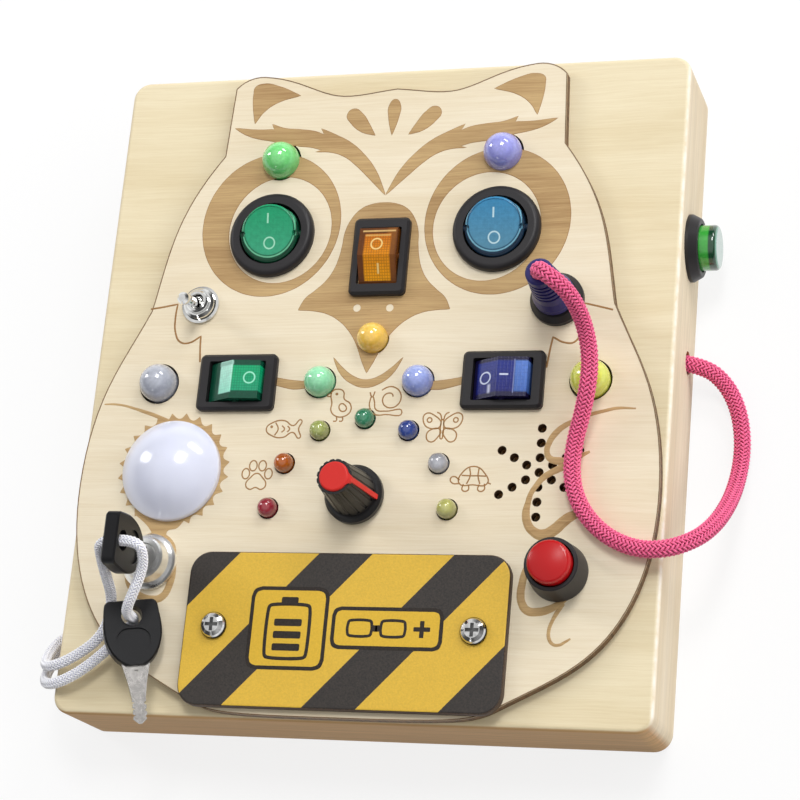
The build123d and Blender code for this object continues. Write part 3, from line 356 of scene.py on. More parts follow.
@dataclass(frozen=True)
class Plastic(Finish):
    """Moulded plastic with a satin or glossy skin, which may be crowned round a point of the board."""
    coat: float = 0.0
    coat_roughness: float = 0.05
    texture: float = 0.08
    grit: float = 0.25
    subsurface: float = 0.0
    specular: float = 0.5
    crown: Point = ()
    crown_radius: float = 4.4
    crown_fall: float = -0.035

    def paint(self, skin: Skin) -> None:
        """The plastic."""
        skin.speckle(self.grit, self.texture, 0.0 if self.coat else 0.2)
        if self.crown:
            far = skin.math("MINIMUM", skin.far(self.crown), self.crown_radius)
            skin.relief(skin.product(far, far, self.crown_fall), 1.0, MM)
        skin.set({"Specular IOR Level": self.specular, "Coat Weight": self.coat,
                  "Coat Roughness": self.coat_roughness})
        skin.soften(self.subsurface)


@dataclass(frozen=True)
class Metal(Finish):
    """Plated or bare metal, which may be blotched, with painted shade below a height, as in a screw's cross recess."""
    mottle: float = 0.0
    shade_below: float = -100.0

    def paint(self, skin: Skin) -> None:
        """The metal."""
        blotch = skin.rise(skin.noise(skin.place, 0.8), 0.40, 0.62)
        blotched = skin.blend(blotch, shade(self.colour, 1 - 0.8 * self.mottle), shade(self.colour))
        # painted shade: nearly black below the given height, in the screw's cross recess
        shadow = skin.fade(skin.z, self.shade_below, self.shade_below + 0.12)
        skin.speckle(0.4, 0.06, colour=skin.blend(shadow, blotched, (0.02, 0.02, 0.02, 1.0)))
        skin.set({"Metallic": 1.0})


@dataclass(frozen=True)
class Zone:
    """A field of colour on plastic, for painted highlights and painted shade, by its middle and half sizes on the
    board.

    Its lower end may have a colour of its own, and its colour may be deeper than its code, as painted shade.
    """
    middle: Point
    half: Point
    colour: str
    foot: str = ""
    share: float = 1.0
    grid: float = 0.0
    round: bool = False
    soft: float = 0.15

    def lay(self, skin: Skin, grid: Value, base: Value) -> Socket:
        """Lays the field, with the moulded grid's lines, over a colour."""
        wide, high = self.half
        if self.round:
            mask = skin.fade(skin.far(self.middle), wide - self.soft, wide + self.soft)
        else:
            mask = skin.box((skin.x, skin.y), self.middle, self.half, self.soft)
        colour: Value = shade(self.colour, self.share)
        if self.foot:
            up = skin.rise(skin.y, self.middle[1] - high, self.middle[1] + high)
            colour = skin.blend(up, shade(self.foot), colour)
        if self.grid:
            colour = skin.blend(skin.product(grid, self.grid), colour, (0.45, 0.45, 0.45, 1.0), "MULTIPLY")
        return skin.blend(mask, base, colour)


@dataclass(frozen=True)
class Lens(Finish):
    """A rocker's translucent cap: fields of painted highlight, painted reflection and painted shade, some with a
    moulded grid, on a deeper case colour, and its two marks.

    The ring and the bar are given by their places on the board.
    """
    zones: tuple[Zone, ...] = ()
    ring: Point = (0.0, 0.0)
    bar: Point = (0.0, 0.0)
    bar_size: Point = (0.45, 2.6)
    mark: str = "beded0"
    pitch: float = 0.9
    ring_radius: float = 1.45

    def paint(self, skin: Skin) -> None:
        """The lens."""
        lines = [skin.off(skin.math("FRACT", skin.math("DIVIDE", axis, self.pitch)), 0.5) for axis in (skin.x, skin.y)]
        grid = skin.rise(skin.math("MAXIMUM", *lines), 0.30, 0.44)
        base: Value = shade(self.colour)
        # the zones paint fields of highlight and shade over the case colour
        for zone in self.zones:
            base = zone.lay(skin, grid, base)
        mottle = skin.line(skin.noise(skin.place, 0.9), 0.5, 0.76)
        base = skin.blend(1.0, base, skin.join(mottle, mottle, mottle), "MULTIPLY")
        ring = skin.fade(skin.off(skin.far(self.ring), self.ring_radius), 0.12, 0.26)
        bar = skin.box((skin.x, skin.y), self.bar, tuple(size / 2 for size in self.bar_size), 0.07)
        marked = skin.blend(skin.math("MAXIMUM", ring, bar), base, shade(self.mark))
        skin.set({"Base Color": marked, "Coat Weight": 0.15, "Coat Roughness": 0.15, "Specular IOR Level": 0.25})
        skin.relief(grid, 0.25, 0.05 * MM)


@dataclass(frozen=True)
class Lamps(Finish):
    """Several lamps in one node, each with its own colours by its place, with painted shade and painted light."""
    zones: tuple[Zone, ...] = ()
    subsurface: float = 0.3

    def paint(self, skin: Skin) -> None:
        """The lamps' plastic."""
        colour: Value = shade(self.colour)
        for zone in self.zones:
            colour = zone.lay(skin, 0.0, colour)
        skin.speckle(0.7, 0.4, colour=colour)
        skin.set({"Coat Weight": 1.0, "Coat Roughness": 0.03})
        skin.soften(self.subsurface)


def lamp(x: float, y: float, radius: float, colour: str, foot: str, rim: float) -> tuple[Zone, ...]:
    """The fields of one round lamp: a rim darkened to a share of its colour, as painted shade from the hole round it,
    and a clearer middle set up and to the left, graded from its colour above to its foot's below, as painted light.
    """
    return (Zone((x, y), (radius + 2.0, radius), foot, share=rim, round=True, soft=0.4),
            Zone((x - 0.06 * radius, y + 0.06 * radius), (0.86 * radius, radius), colour, foot, round=True,
                 soft=0.24 * radius))


def eye(x: float, *colours: str) -> tuple[Zone, ...]:
    """The fields of a round rocker: a bright rim, a dark groove and its face, as painted highlight and painted shade,
    rim and face lighter towards their feet.
    """
    rim, rim_foot, groove, face, face_foot = colours
    return tuple(Zone((x, 40.1), (radius, 7.2), *pair, round=True, soft=soft) for radius, pair, soft in (
        (7.35, (rim, rim_foot), 0.1), (7.0, (groove,), 0.12), (6.7, (face, face_foot), 0.2)))


@dataclass(frozen=True)
class Hazard(Finish):
    """The cover plate's slanting stripes, printed on a speckled board, with a browned cut edge."""
    stripe: str = "28211c"
    period: float = 34.57
    width: float = 13.8
    slope: float = 1.09

    def paint(self, skin: Skin) -> None:
        """The print."""
        slant = skin.math("SUBTRACT", skin.x, skin.math("DIVIDE", skin.y, self.slope))
        share = skin.math("FRACT", skin.line(slant, 1 / self.period, 10.0))
        dark = skin.math("LESS_THAN", share, self.width / self.period)
        side = skin.math("LESS_THAN", skin.z, Level.PLATE.value - 0.1)
        colour = skin.blend(side, skin.blend(dark, shade(self.colour), shade(self.stripe)), shade("463426"))
        skin.speckle(0.42, skin.line(dark, 2.0, 0.35), 0.6, colour)


@dataclass(frozen=True)
class Braid(Finish):
    """Braided yarn, with painted shade between the strands."""
    # the colour of the painted shade between the strands
    deep: str = "78143c"

    def paint(self, skin: Skin) -> None:
        """The yarn, shaded by the depth stored on its mesh."""
        depth = skin.node("Attribute", attribute_name="depth").outputs["Fac"]
        fibre = skin.noise(skin.place, 5.0, 3.0, 0.7)
        # painted shade: deeper colour where the yarn lies low
        mask = skin.rise(skin.math("ADD", depth, skin.line(fibre, 0.5, -0.25)), 0.10, 0.70)
        skin.set({"Base Color": skin.blend(mask, shade(self.deep), shade(self.colour)), "Sheen Weight": 0.25,
                  "Sheen Roughness": 0.4})
        skin.relief(fibre, 0.4, 0.08 * MM)


class Workshop:
    """Keeps one material for each finish and dresses pieces in them."""

    def __init__(self) -> None:
        """Starts with no material."""
        self.made: dict[str, bpy.types.Material] = {}

    def get(self, finish: Finish) -> bpy.types.Material:
        """The finish's material, made the first time."""
        if finish.name not in self.made:
            self.made[finish.name] = finish.material()
        return self.made[finish.name]

    def dress(self, piece: Piece, *finishes: Finish) -> None:
        """Gives a piece its finishes."""
        slots = piece.data.materials
        for number, finish in enumerate(finishes):
            if number < len(slots):
                slots[number] = self.get(finish)
            else:
                slots.append(self.get(finish))

    def settle(self, mesh: Mesh, name: str, *finishes: Finish) -> Piece:
        """Turns a finished mesh into a dressed piece of the scene."""
        data = bpy.data.meshes.new(name)
        mesh.to_mesh(data)
        mesh.free()
        piece = bpy.data.objects.new(name, data)
        bpy.context.scene.collection.objects.link(piece)
        self.dress(piece, *finishes)
        return piece


SHOP = Workshop()

BURNT_WOOD = Wood("burnt birch", "ceae7a", 0.7, "owl_wood", dark="a07c4e", contrast=1.2)
BURNT_LINE = Wood("burnt line", "ae824c", 0.75, "owl_wood", dark="845e34")
EDGE_LINE_WOOD = Wood("dark edge line", "927656", 0.8, "owl_wood", dark="624a32")
SCREW = Metal("screw steel", "dcdcdb", 0.12, "screw_steel")
INK = Plastic("print black", "28211c", 0.6, "plate_print", texture=1.8, grit=0.42, specular=0.3)
FIELD = Plastic("print yellow", "d9b036", 0.55, "plate_print", texture=0.3, grit=0.42, specular=0.3)
PINK = Braid("pink yarn", "fa6c9c", 0.7, "pink_cord", deep="b83462")
PALE = Braid("white yarn", "fcfcff", 0.7, "white_cord", deep="dedff0")


# ---- flat drawing --------------------------------------------------------------------------
class Drawing:
    """Flat shapes laid on a face of the board and joined in one thin mesh, in millimetres."""
    join = 1e-4
    stroke_flatness = 0.18

    def __init__(self, name: str, level: Level, thickness: float = 0.1) -> None:
        """Starts an empty drawing on a face."""
        self.name = name
        self.level = level.value
        self.thickness = thickness
        self.mesh = bmesh.new()

    @staticmethod
    def curve(loops: Iterable[Sequence[Point]], closed: bool) -> bpy.types.Curve:
        """A flat Bezier curve through the loops' points, sharp at those with a third value of 1."""
        curve = bpy.data.curves.new("pen", "CURVE")
        curve.dimensions = "2D"
        curve.resolution_u = 6
        for loop in loops:
            spline = curve.splines.new("BEZIER")
            spline.bezier_points.add(len(loop) - 1)
            spline.use_cyclic_u = closed
            for point, given in zip(spline.bezier_points, loop):
                point.co = (given[0], given[1], 0.0)
                point.handle_left_type = point.handle_right_type = "VECTOR" if given[2:3] == (1,) else "AUTO"
        return curve

    def add(self, curve: bpy.types.Curve, slot: int, lift: float, flatten: float = 1.0) -> None:
        """Turns a curve into faces of the drawing."""
        pen = bpy.data.objects.new("pen", curve)
        mesh = bpy.data.meshes.new_from_object(pen)
        bpy.data.objects.remove(pen)
        bpy.data.curves.remove(curve)
        piece = bmesh.new()
        piece.from_mesh(mesh)
        bmesh.ops.remove_doubles(piece, verts=piece.verts, dist=self.join)
        bmesh.ops.dissolve_degenerate(piece, dist=self.join, edges=piece.edges)
        bmesh.ops.recalc_face_normals(piece, faces=piece.faces)
        bmesh.ops.scale(piece, vec=(1, 1, flatten), verts=piece.verts)
        bmesh.ops.translate(piece, vec=(0, 0, self.level + lift), verts=piece.verts)
        bmesh.ops.scale(piece, vec=(MM, MM, MM), verts=piece.verts)
        for face in piece.faces:
            face.material_index = slot
            face.smooth = False
        piece.to_mesh(mesh)
        piece.free()
        self.mesh.from_mesh(mesh)
        bpy.data.meshes.remove(mesh)

    def fill(self, *loops: Sequence[Point], slot: int = 0, lift: float = 0.0) -> None:
        """Fills the first loop; the others are holes in it."""
        curve = self.curve(loops, True)
        curve.fill_mode = "BOTH"
        curve.extrude = self.thickness / 2
        self.add(curve, slot, lift)

    def stroke(self, *lines: Sequence[Point], width: float = 0.4, closed: bool = False, slot: int = 1,
               lift: float = 0.0, sharp: Sequence[int] = ()) -> None:
        """Draws lines with round ends.

        Args:
            lines: each one's points (x, y) or (x, y, half width).
            width: the width where a point has none.
            closed: whether each line returns to its start.
            slot: the material's number.
            lift: height above the face.
            sharp: numbers of the points where each line has a corner.
        """
        for line in lines:
            curve = self.curve([[point[:2] for point in line]], closed)
            curve.dimensions = "3D"
            curve.bevel_depth = 1.0
            curve.bevel_resolution = 1
            curve.use_fill_caps = True
            for number, (point, given) in enumerate(zip(curve.splines[0].bezier_points, line)):
                point.radius = given[2] if len(given) > 2 else width / 2
                if number in sharp:
                    point.handle_left_type = point.handle_right_type = "VECTOR"
            self.add(curve, slot, lift, self.stroke_flatness)

    def finish(self, *finishes: Finish) -> None:
        """Makes the drawing a piece of the board."""
        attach(SHOP.settle(self.mesh, self.name, *finishes), "root")


def mirrored(points: Sequence[Point]) -> list[Point]:
    """The same points on the other side of the middle."""
    return [(-point[0], *point[1:]) for point in points]


def oval(x: float, y: float, wide: float, high: float, count: int = 16) -> list[Point]:
    """Points round an oval with the given half width and half height."""
    turns = [2 * math.pi * n / count for n in range(count)]
    return [(x + wide * math.cos(turn), y + high * math.sin(turn)) for turn in turns]


@dataclass
class OwlFace:
    """The face and feathers burnt into the owl panel, in millimetres."""
    outer_eye: Point = (30.6, 42.4, 19.05, 19.9)
    inner_eye: Point = (27.95, 40.9, 14.3, 14.95)
    nostril: Point = (4.4, 19.0, 1.0)
    brow: tuple[Point, ...] = (
        (0.1, 50.1, 1), (1.0, 52.3), (3.4, 57.1), (7.1, 61.7), (11.2, 65.2), (15.3, 67.4), (19.7, 69.4, 1),
        (18.7, 67.6, 1), (21.3, 68.6), (25.5, 69.3), (30.0, 69.8), (33.7, 71.1, 1), (33.0, 69.6, 1), (37.5, 69.6),
        (44.2, 70.3, 1), (41.5, 68.6), (38.6, 67.4), (33.0, 66.2), (25.6, 64.6), (21.8, 64.1), (19.0, 63.3, 1),
        (20.6, 62.8, 1), (16.0, 62.5), (12.4, 61.2), (9.0, 58.7), (5.6, 55.5))
    ear: tuple[Point, ...] = (
        (26.7, 79.2, 1), (33.1, 82.1), (37.5, 83.0), (39.8, 82.1), (40.1, 80.2), (39.7, 75.9), (38.7, 71.5, 1),
        (36.6, 74.7), (33.1, 77.3))
    side_drop: tuple[Point, ...] = (
        (11.25, 74.75), (12.9, 73.0), (11.6, 70.7), (8.4, 68.1), (4.6, 67.0, 1), (6.6, 70.4), (8.6, 73.2))
    middle_drop: tuple[Point, ...] = (
        (0.0, 77.1), (1.5, 75.4), (1.4, 72.2), (0.0, 66.9, 1), (-1.4, 72.2), (-1.5, 75.4))
    beak: tuple[Point, ...] = (
        (3.7, 47.4), (6.3, 46.1), (8.4, 43.6), (9.8, 40.0), (10.2, 36.0), (10.8, 32.5), (11.9, 29.2), (13.7, 26.3),
        (16.3, 23.8), (18.7, 21.7), (20.3, 18.6, 1), (15.8, 18.3), (12.3, 17.5), (9.1, 15.8), (6.3, 13.3),
        (3.7, 9.6), (1.6, 4.8))
    chin: tuple[Point, ...] = ((9.3, 5.7, 1), (6.8, 1.2), (3.6, -1.3))
    chin_upper: tuple[Point, ...] = ((2.9, 0.4), (6.5, 2.9))
    waist: tuple[Point, ...] = (
        (14.5, -0.9, 1), (17.4, -0.7), (21.2, -0.3), (27.0, 0.8, 1), (27.0, -0.8, 1), (22.2, -2.2), (19.0, -2.8),
        (14.5, -2.2, 1))
    shift: float = -0.9
    lean: float = 0.008
    fall: float = 0.012
    rim: float = 0.28
    eye_rim: float = 0.3

    def place(self, points: Sequence[Point]) -> list[Point]:
        """Puts points of the symmetric drawing on the panel, where it sits a little askew."""
        return [(x + self.lean * y + self.shift, y - self.fall * x, *rest) for x, y, *rest in points]

    def build(self) -> None:
        """Burns the drawing."""
        art = Drawing("burnt_owl_face", Level.PANEL)
        for side in (list, mirrored):
            rings = [self.place(side(oval(*shape, 32))) for shape in (self.outer_eye, self.inner_eye)]
            art.fill(*rings)
            art.stroke(*rings, width=self.eye_rim, closed=True)
            for shape in (self.brow, self.ear, self.side_drop, self.waist):
                self.burn(art, side(shape))
        whole = [(0.0, 47.9), *self.beak, (0.0, 1.6, 1), *mirrored(self.beak[::-1])]
        x, y, radius = self.nostril
        self.burn(art, whole, *(oval(side * x, y, radius, radius, 10) for side in (-1, 1)))
        crescent = [*self.chin, (0.0, -2.3), *mirrored(self.chin[::-1]), *mirrored(self.chin_upper[::-1]),
                    (0.0, -0.3), *self.chin_upper]
        self.burn(art, crescent)
        self.burn(art, self.middle_drop)
        self.feathers(art)
        self.sun(art)
        log.info("burnt the owl's face")
        art.finish(BURNT_WOOD, BURNT_LINE)

    def burn(self, art: Drawing, points: Sequence[Point], *holes: Sequence[Point]) -> None:
        """Fills a shape and darkens its outline."""
        placed = self.place(points)
        art.fill(placed, *(self.place(hole) for hole in holes))
        corners = [number for number, point in enumerate(placed) if point[2:] == (1,)]
        art.stroke([point[:2] for point in placed], width=self.rim, closed=True, sharp=corners)

    @staticmethod
    def feathers(art: Drawing) -> None:
        """The swirls and folds of the wings, by half width along each."""
        art.stroke(
            [(68.9, -8.3, .22), (64.3, -8.2, .4), (61.0, -8.9, .45), (57.7, -9.8, .5), (53.9, -11.4, .6),
             (51.5, -12.6, .7), (49.3, -14.6, .8), (47.9, -17.0, .75), (47.5, -19.2, .7), (48.3, -20.9, .8),
             (50.4, -21.6, 1.0), (53.5, -21.4, 1.0), (56.5, -20.0, .6), (58.2, -19.2, .3)],
            [(53.0, -22.4, 1.0), (50.8, -23.6, .9), (48.5, -24.8, .8), (46.8, -26.1, .8), (45.5, -27.8, .7),
             (44.3, -29.8, .65), (43.7, -32.3, .75), (43.4, -34.8, 1.0), (43.9, -37.2, 1.05), (45.5, -39.3, 1.15),
             (48.1, -40.2, 1.45), (50.6, -39.0, 1.45), (52.7, -37.0, 1.4), (54.5, -35.6, 1.3), (56.5, -34.8, .9)],
            [(45.6, -46.5, .8), (44.3, -49.6, .9), (43.8, -52.3, .95), (43.6, -54.8, 1.0), (44.1, -57.2, 1.0),
             (45.5, -58.9, 1.05), (48.1, -59.2, 1.05), (50.6, -58.6, 1.0), (52.7, -57.5, .85), (54.8, -56.0, .5)],
            [(54.2, -57.0, .6), (52.8, -59.4, .55), (51.8, -61.5, .45), (51.2, -63.6, .45), (51.4, -65.7, .45),
             (52.5, -67.0, .4), (53.9, -67.1, .38), (55.4, -66.3, .34), (56.6, -65.5, .22)],
            [(-72.0, -6.3, .2), (-69.2, -6.3, .3), (-66.2, -6.7, .3), (-63.3, -7.5, .35), (-60.4, -8.4, .45),
             (-57.9, -9.2, .5), (-55.0, -10.3, .5), (-52.5, -11.2, .4)], slot=0)
        art.stroke([(-53.0, -41.6, .95), (-48.9, -43.2, .95), (-47.4, -48.0, .9), (-47.6, -54.2, .95),
                    (-49.4, -57.4, 1.0), (-52.2, -57.9, .95), (-55.2, -57.1, .9), (-58.2, -54.8, .8),
                    (-59.4, -51.0, .8), (-58.4, -45.2, .9), (-56.0, -42.4, .95)], closed=True, slot=0)
        art.stroke([(-62.3, 19.9), (-60.0, 20.2), (-54.8, 21.1), (-55.0, 17.4), (-54.4, 13.0), (-52.8, 10.6),
                    (-50.4, 10.3), (-47.2, 12.1), (-47.1, 9.9), (-46.6, 5.0)],
                   [(61.6, 17.3), (59.4, 17.9), (54.3, 19.2), (54.5, 15.6), (53.9, 11.4), (52.4, 9.0), (50.0, 8.9),
                    (46.9, 10.4), (46.5, 8.0), (45.8, 2.4)], width=0.5, sharp=(2, 7))

    @staticmethod
    def sun(art: Drawing) -> None:
        """The ring of little flames round the big dome and the neck that joins it to the lock's loop."""
        middle_x, middle_y, inner, count = -50.3, -24.1, 12.4, 24
        flames: list[Point] = []
        for number in range(count):
            for turn, radius, sharp in ((-0.6, 13.75, 0), (8.4, 15.3, 1)):
                angle = math.radians(turn + 360 / count * number)
                flames.append((middle_x + radius * math.cos(angle), middle_y + radius * math.sin(angle), sharp))
        art.fill(flames, oval(middle_x, middle_y, inner, inner, 32))
        art.fill([(-59.9, -33.0, 1), (-59.5, -35.8, 1), (-55.2, -39.3), (-53.6, -41.6, 1), (-49.6, -42.4, 1),
                  (-50.0, -40.4), (-47.4, -39.4), (-46.1, -37.9), (-45.3, -36.6, 1), (-48.0, -33.5, 1)], lift=0.02)


Figure = tuple[tuple[bool, Sequence[Point]], ...]


@dataclass
class LittleMarks:
    """Small line figures beside the indicator lamps, each round its own place, by closed and open lines."""
    line: float = 0.36
    paw: Figure = (
        (True, ((0.0, 0.7), (1.6, -0.4), (2.7, -2.3), (1.6, -3.5), (0.0, -3.0), (-1.6, -3.5), (-2.7, -2.3),
                (-1.6, -0.4))),
        *((True, oval(x, y, 1.0, 1.35, 10)) for x, y in ((-3.0, 0.6), (-1.2, 2.7), (1.3, 2.7), (3.1, 0.6))))
    fish: Figure = (
        (True, ((-4.6, 0.0), (-2.6, 1.9), (0.2, 2.2), (2.6, 0.9), (4.6, 2.4), (4.1, 0.0), (4.6, -2.4), (2.6, -0.9),
                (0.2, -2.2), (-2.6, -1.9))),
        (False, ((-2.2, 1.7), (-1.4, 0.0), (-2.2, -1.7))), (True, oval(-3.2, 0.6, 0.2, 0.2, 6)),
        (False, ((-0.4, 0.9), (0.3, 0.0), (-0.4, -0.9))), (False, ((1.1, 0.8), (1.7, 0.0), (1.1, -0.8))))
    bird: Figure = (
        (True, ((-1.2, 4.2), (0.5, 3.6), (0.9, 1.6), (2.6, 0.3), (2.9, -1.6), (1.4, -3.0), (-0.8, -3.0), (-2.3, -1.6),
                (-2.3, 0.6), (-2.7, 2.4), (-2.4, 3.7))),
        (True, ((0.0, 0.2), (1.4, -0.2), (1.6, -1.4), (0.2, -1.5))), (False, ((-2.6, 3.1), (-3.7, 2.6), (-2.7, 2.2))),
        (True, oval(-1.2, 2.9, 0.2, 0.2, 6)), (False, ((-0.7, -3.0), (-0.7, -4.2), (-1.5, -4.3))),
        (False, ((0.9, -3.0), (0.9, -4.2), (0.1, -4.3))))
    snail: Figure = (
        (False, [(0.9 + 0.882 * n ** 0.5 * math.cos(0.62 * n), 0.7 + 0.882 * n ** 0.5 * math.sin(0.62 * n))
                 for n in range(1, 15)]),
        (True, ((4.3, -2.9), (0.0, -2.6), (-2.6, -2.2), (-3.3, 0.2), (-3.9, 1.2), (-4.4, 0.2), (-4.2, -1.9),
                (-2.9, -3.4), (0.0, -3.5))),
        (False, ((-3.7, 1.2), (-3.3, 2.6))), (False, ((-4.1, 1.1), (-4.6, 2.4))))
    butterfly: Figure = ((True, oval(0.0, -0.2, 0.45, 2.6, 10)), *((closed, side(points)) for side in (list, mirrored)
                         for closed, points in (
        (True, ((0.4, 0.8), (2.2, 3.4), (4.6, 3.8), (4.9, 1.6), (3.0, 0.0))),
        (True, ((0.4, -0.4), (2.8, -0.3), (3.9, -1.8), (2.8, -3.5), (1.0, -2.4))),
        (False, ((0.2, 2.2), (0.8, 3.8), (1.6, 4.2))), (True, oval(3.4, 2.2, 0.6, 0.6, 8)))))
    turtle: Figure = (
        (True, ((-2.9, -1.4), (-2.2, 1.4), (0.6, 2.9), (3.4, 1.2), (4.3, -1.4), (0.6, -1.8))),
        (False, ((-2.8, -0.6), (-4.4, 0.3), (-5.2, -0.3), (-4.6, -1.4), (-2.9, -1.5))),
        (False, ((-1.8, -1.6), (-1.9, -3.2), (-0.5, -3.2), (-0.4, -1.8))),
        (False, ((2.2, -1.7), (2.1, -3.2), (3.5, -3.2), (3.6, -1.5))), (False, ((4.2, -1.2), (5.2, -1.6))),
        (False, ((-0.5, 2.5), (-0.2, 0.5), (-1.0, -1.6))), (False, ((1.9, 2.4), (1.8, 0.5), (2.4, -1.6))),
        (False, ((-2.4, 0.6), (-0.2, 0.5), (1.8, 0.5), (3.8, 0.4))))

    def build(self) -> None:
        """Draws the figures."""
        art = Drawing("burnt_figures", Level.PANEL)
        figures = ((-27.4, -25.6, self.paw), (-21.6, -13.2, self.fish), (-7.0, -6.9, self.bird),
                   (5.2, -6.0, self.snail), (20.3, -13.2, self.butterfly), (28.8, -25.9, self.turtle))
        for x, y, figure in figures:
            for closed, points in figure:
                art.stroke([(x + across, y + along) for across, along in points], width=self.line, closed=closed)
        log.info("burnt %d figures", len(figures))
        art.finish(BURNT_WOOD, BURNT_LINE)


@dataclass
class PlateMarks:
    """The plain battery signs on the cover plate, in millimetres."""
    cell: Point = (-14.0, -65.0)
    row_y: float = -64.6
    ink_width: float = 0.95

    def build(self) -> None:
        """Prints the signs."""
        art = Drawing("plate_signs", Level.PLATE, 0.08)
        x, y = self.cell
        self.patch(art, x, y, 10.2, 10.4, 2.6)
        self.patch(art, 11.5, self.row_y, 14.2, 5.3, 2.2)
        for shape, width in (((x, y - 0.8, 5.4, 6.6, 1.0), self.ink_width), ((4.6, self.row_y, 3.0, 1.9, 0.7), 0.8),
                             ((13.1, self.row_y, 3.0, 1.9, 0.7), 0.8)):
            art.stroke([point[:2] for point in self.box(*shape)], width=width, closed=True, slot=0, lift=0.05)
        bars = [(x, y + 7.0, 2.2, 0.8, 0.4), *((x, y - 0.8 + row, 3.6, 0.9, 0.4) for row in (-3.96, -0.88, 2.2))]
        bars += [(across, self.row_y, *size) for across, size in (
            (8.4, (0.7, 0.8, 0.3)), (9.3, (0.7, 0.8, 0.3)), (20.4, (2.1, 0.55, 0.2)))]
        for bar in bars:
            art.fill(self.box(*bar), slot=0, lift=0.03)
        art.fill(self.box(20.4, self.row_y, 0.55, 2.1, 0.2), slot=0, lift=0.04)
        log.info("printed the plate's signs")
        art.finish(INK, FIELD)

    @staticmethod
    def box(x: float, y: float, wide: float, high: float, corner: float) -> list[Point]:
        """Points round a box with soft corners, from its half sizes."""
        points: list[Point] = []
        for turn, (sx, sy) in enumerate(((1, 1), (-1, 1), (-1, -1), (1, -1))):
            for step in (0, 45, 90):
                angle = math.radians(90 * turn + step)
                points.append((x + sx * (wide - corner) + corner * math.cos(angle),
                               y + sy * (high - corner) + corner * math.sin(angle), 0 if step == 45 else 1))
        return points

    def patch(self, art: Drawing, x: float, y: float, wide: float, high: float, corner: float) -> None:
        """A yellow field with a black outline, under a sign."""
        inset = self.ink_width
        art.fill(self.box(x, y, wide, high, corner), slot=0)
        art.fill(self.box(x, y, wide - inset, high - inset, corner - 0.7), slot=1, lift=0.02)


# ---- cords ---------------------------------------------------------------------------------
def metres(*points: Point) -> tuple[Point, ...]:
    """Millimetre points in metres."""
    return tuple(tuple(round(part * MM, 7) for part in point) for point in points)


@dataclass
class Thread:
    """A line through even points, with two directions across it at each and the steps that lie before it."""
    line: list[Vector]
    across: list[tuple[Vector, Vector]]
    start: int = 0

    def cut(self, first: int, last: int) -> "Thread":
        """A stretch of it."""
        return Thread(self.line[first:last + 1], self.across[first:last + 1], first)

    def length(self) -> float:
        """How long it is."""
        return sum((second - first).length for first, second in zip(self.line, self.line[1:]))

    def sweep(self, mesh: Mesh, rings: Sequence[Sequence[Point]]) -> list[bmesh.types.BMVert]:
        """Adds a closed tube through rings given across the line; returns its vertices ring by ring."""
        made = [[mesh.verts.new(point + side * a + up * b) for a, b in ring]
                for point, ring, (side, up) in zip(self.line, rings, self.across)]
        for first, second in zip(made, made[1:]):
            for number in range(len(first)):
                after = (number + 1) % len(first)
                mesh.faces.new((first[number], first[after], second[after], second[number]))
        mesh.faces.new(made[0][::-1])
        mesh.faces.new(made[-1])
        return [vertex for ring in made for vertex in ring]


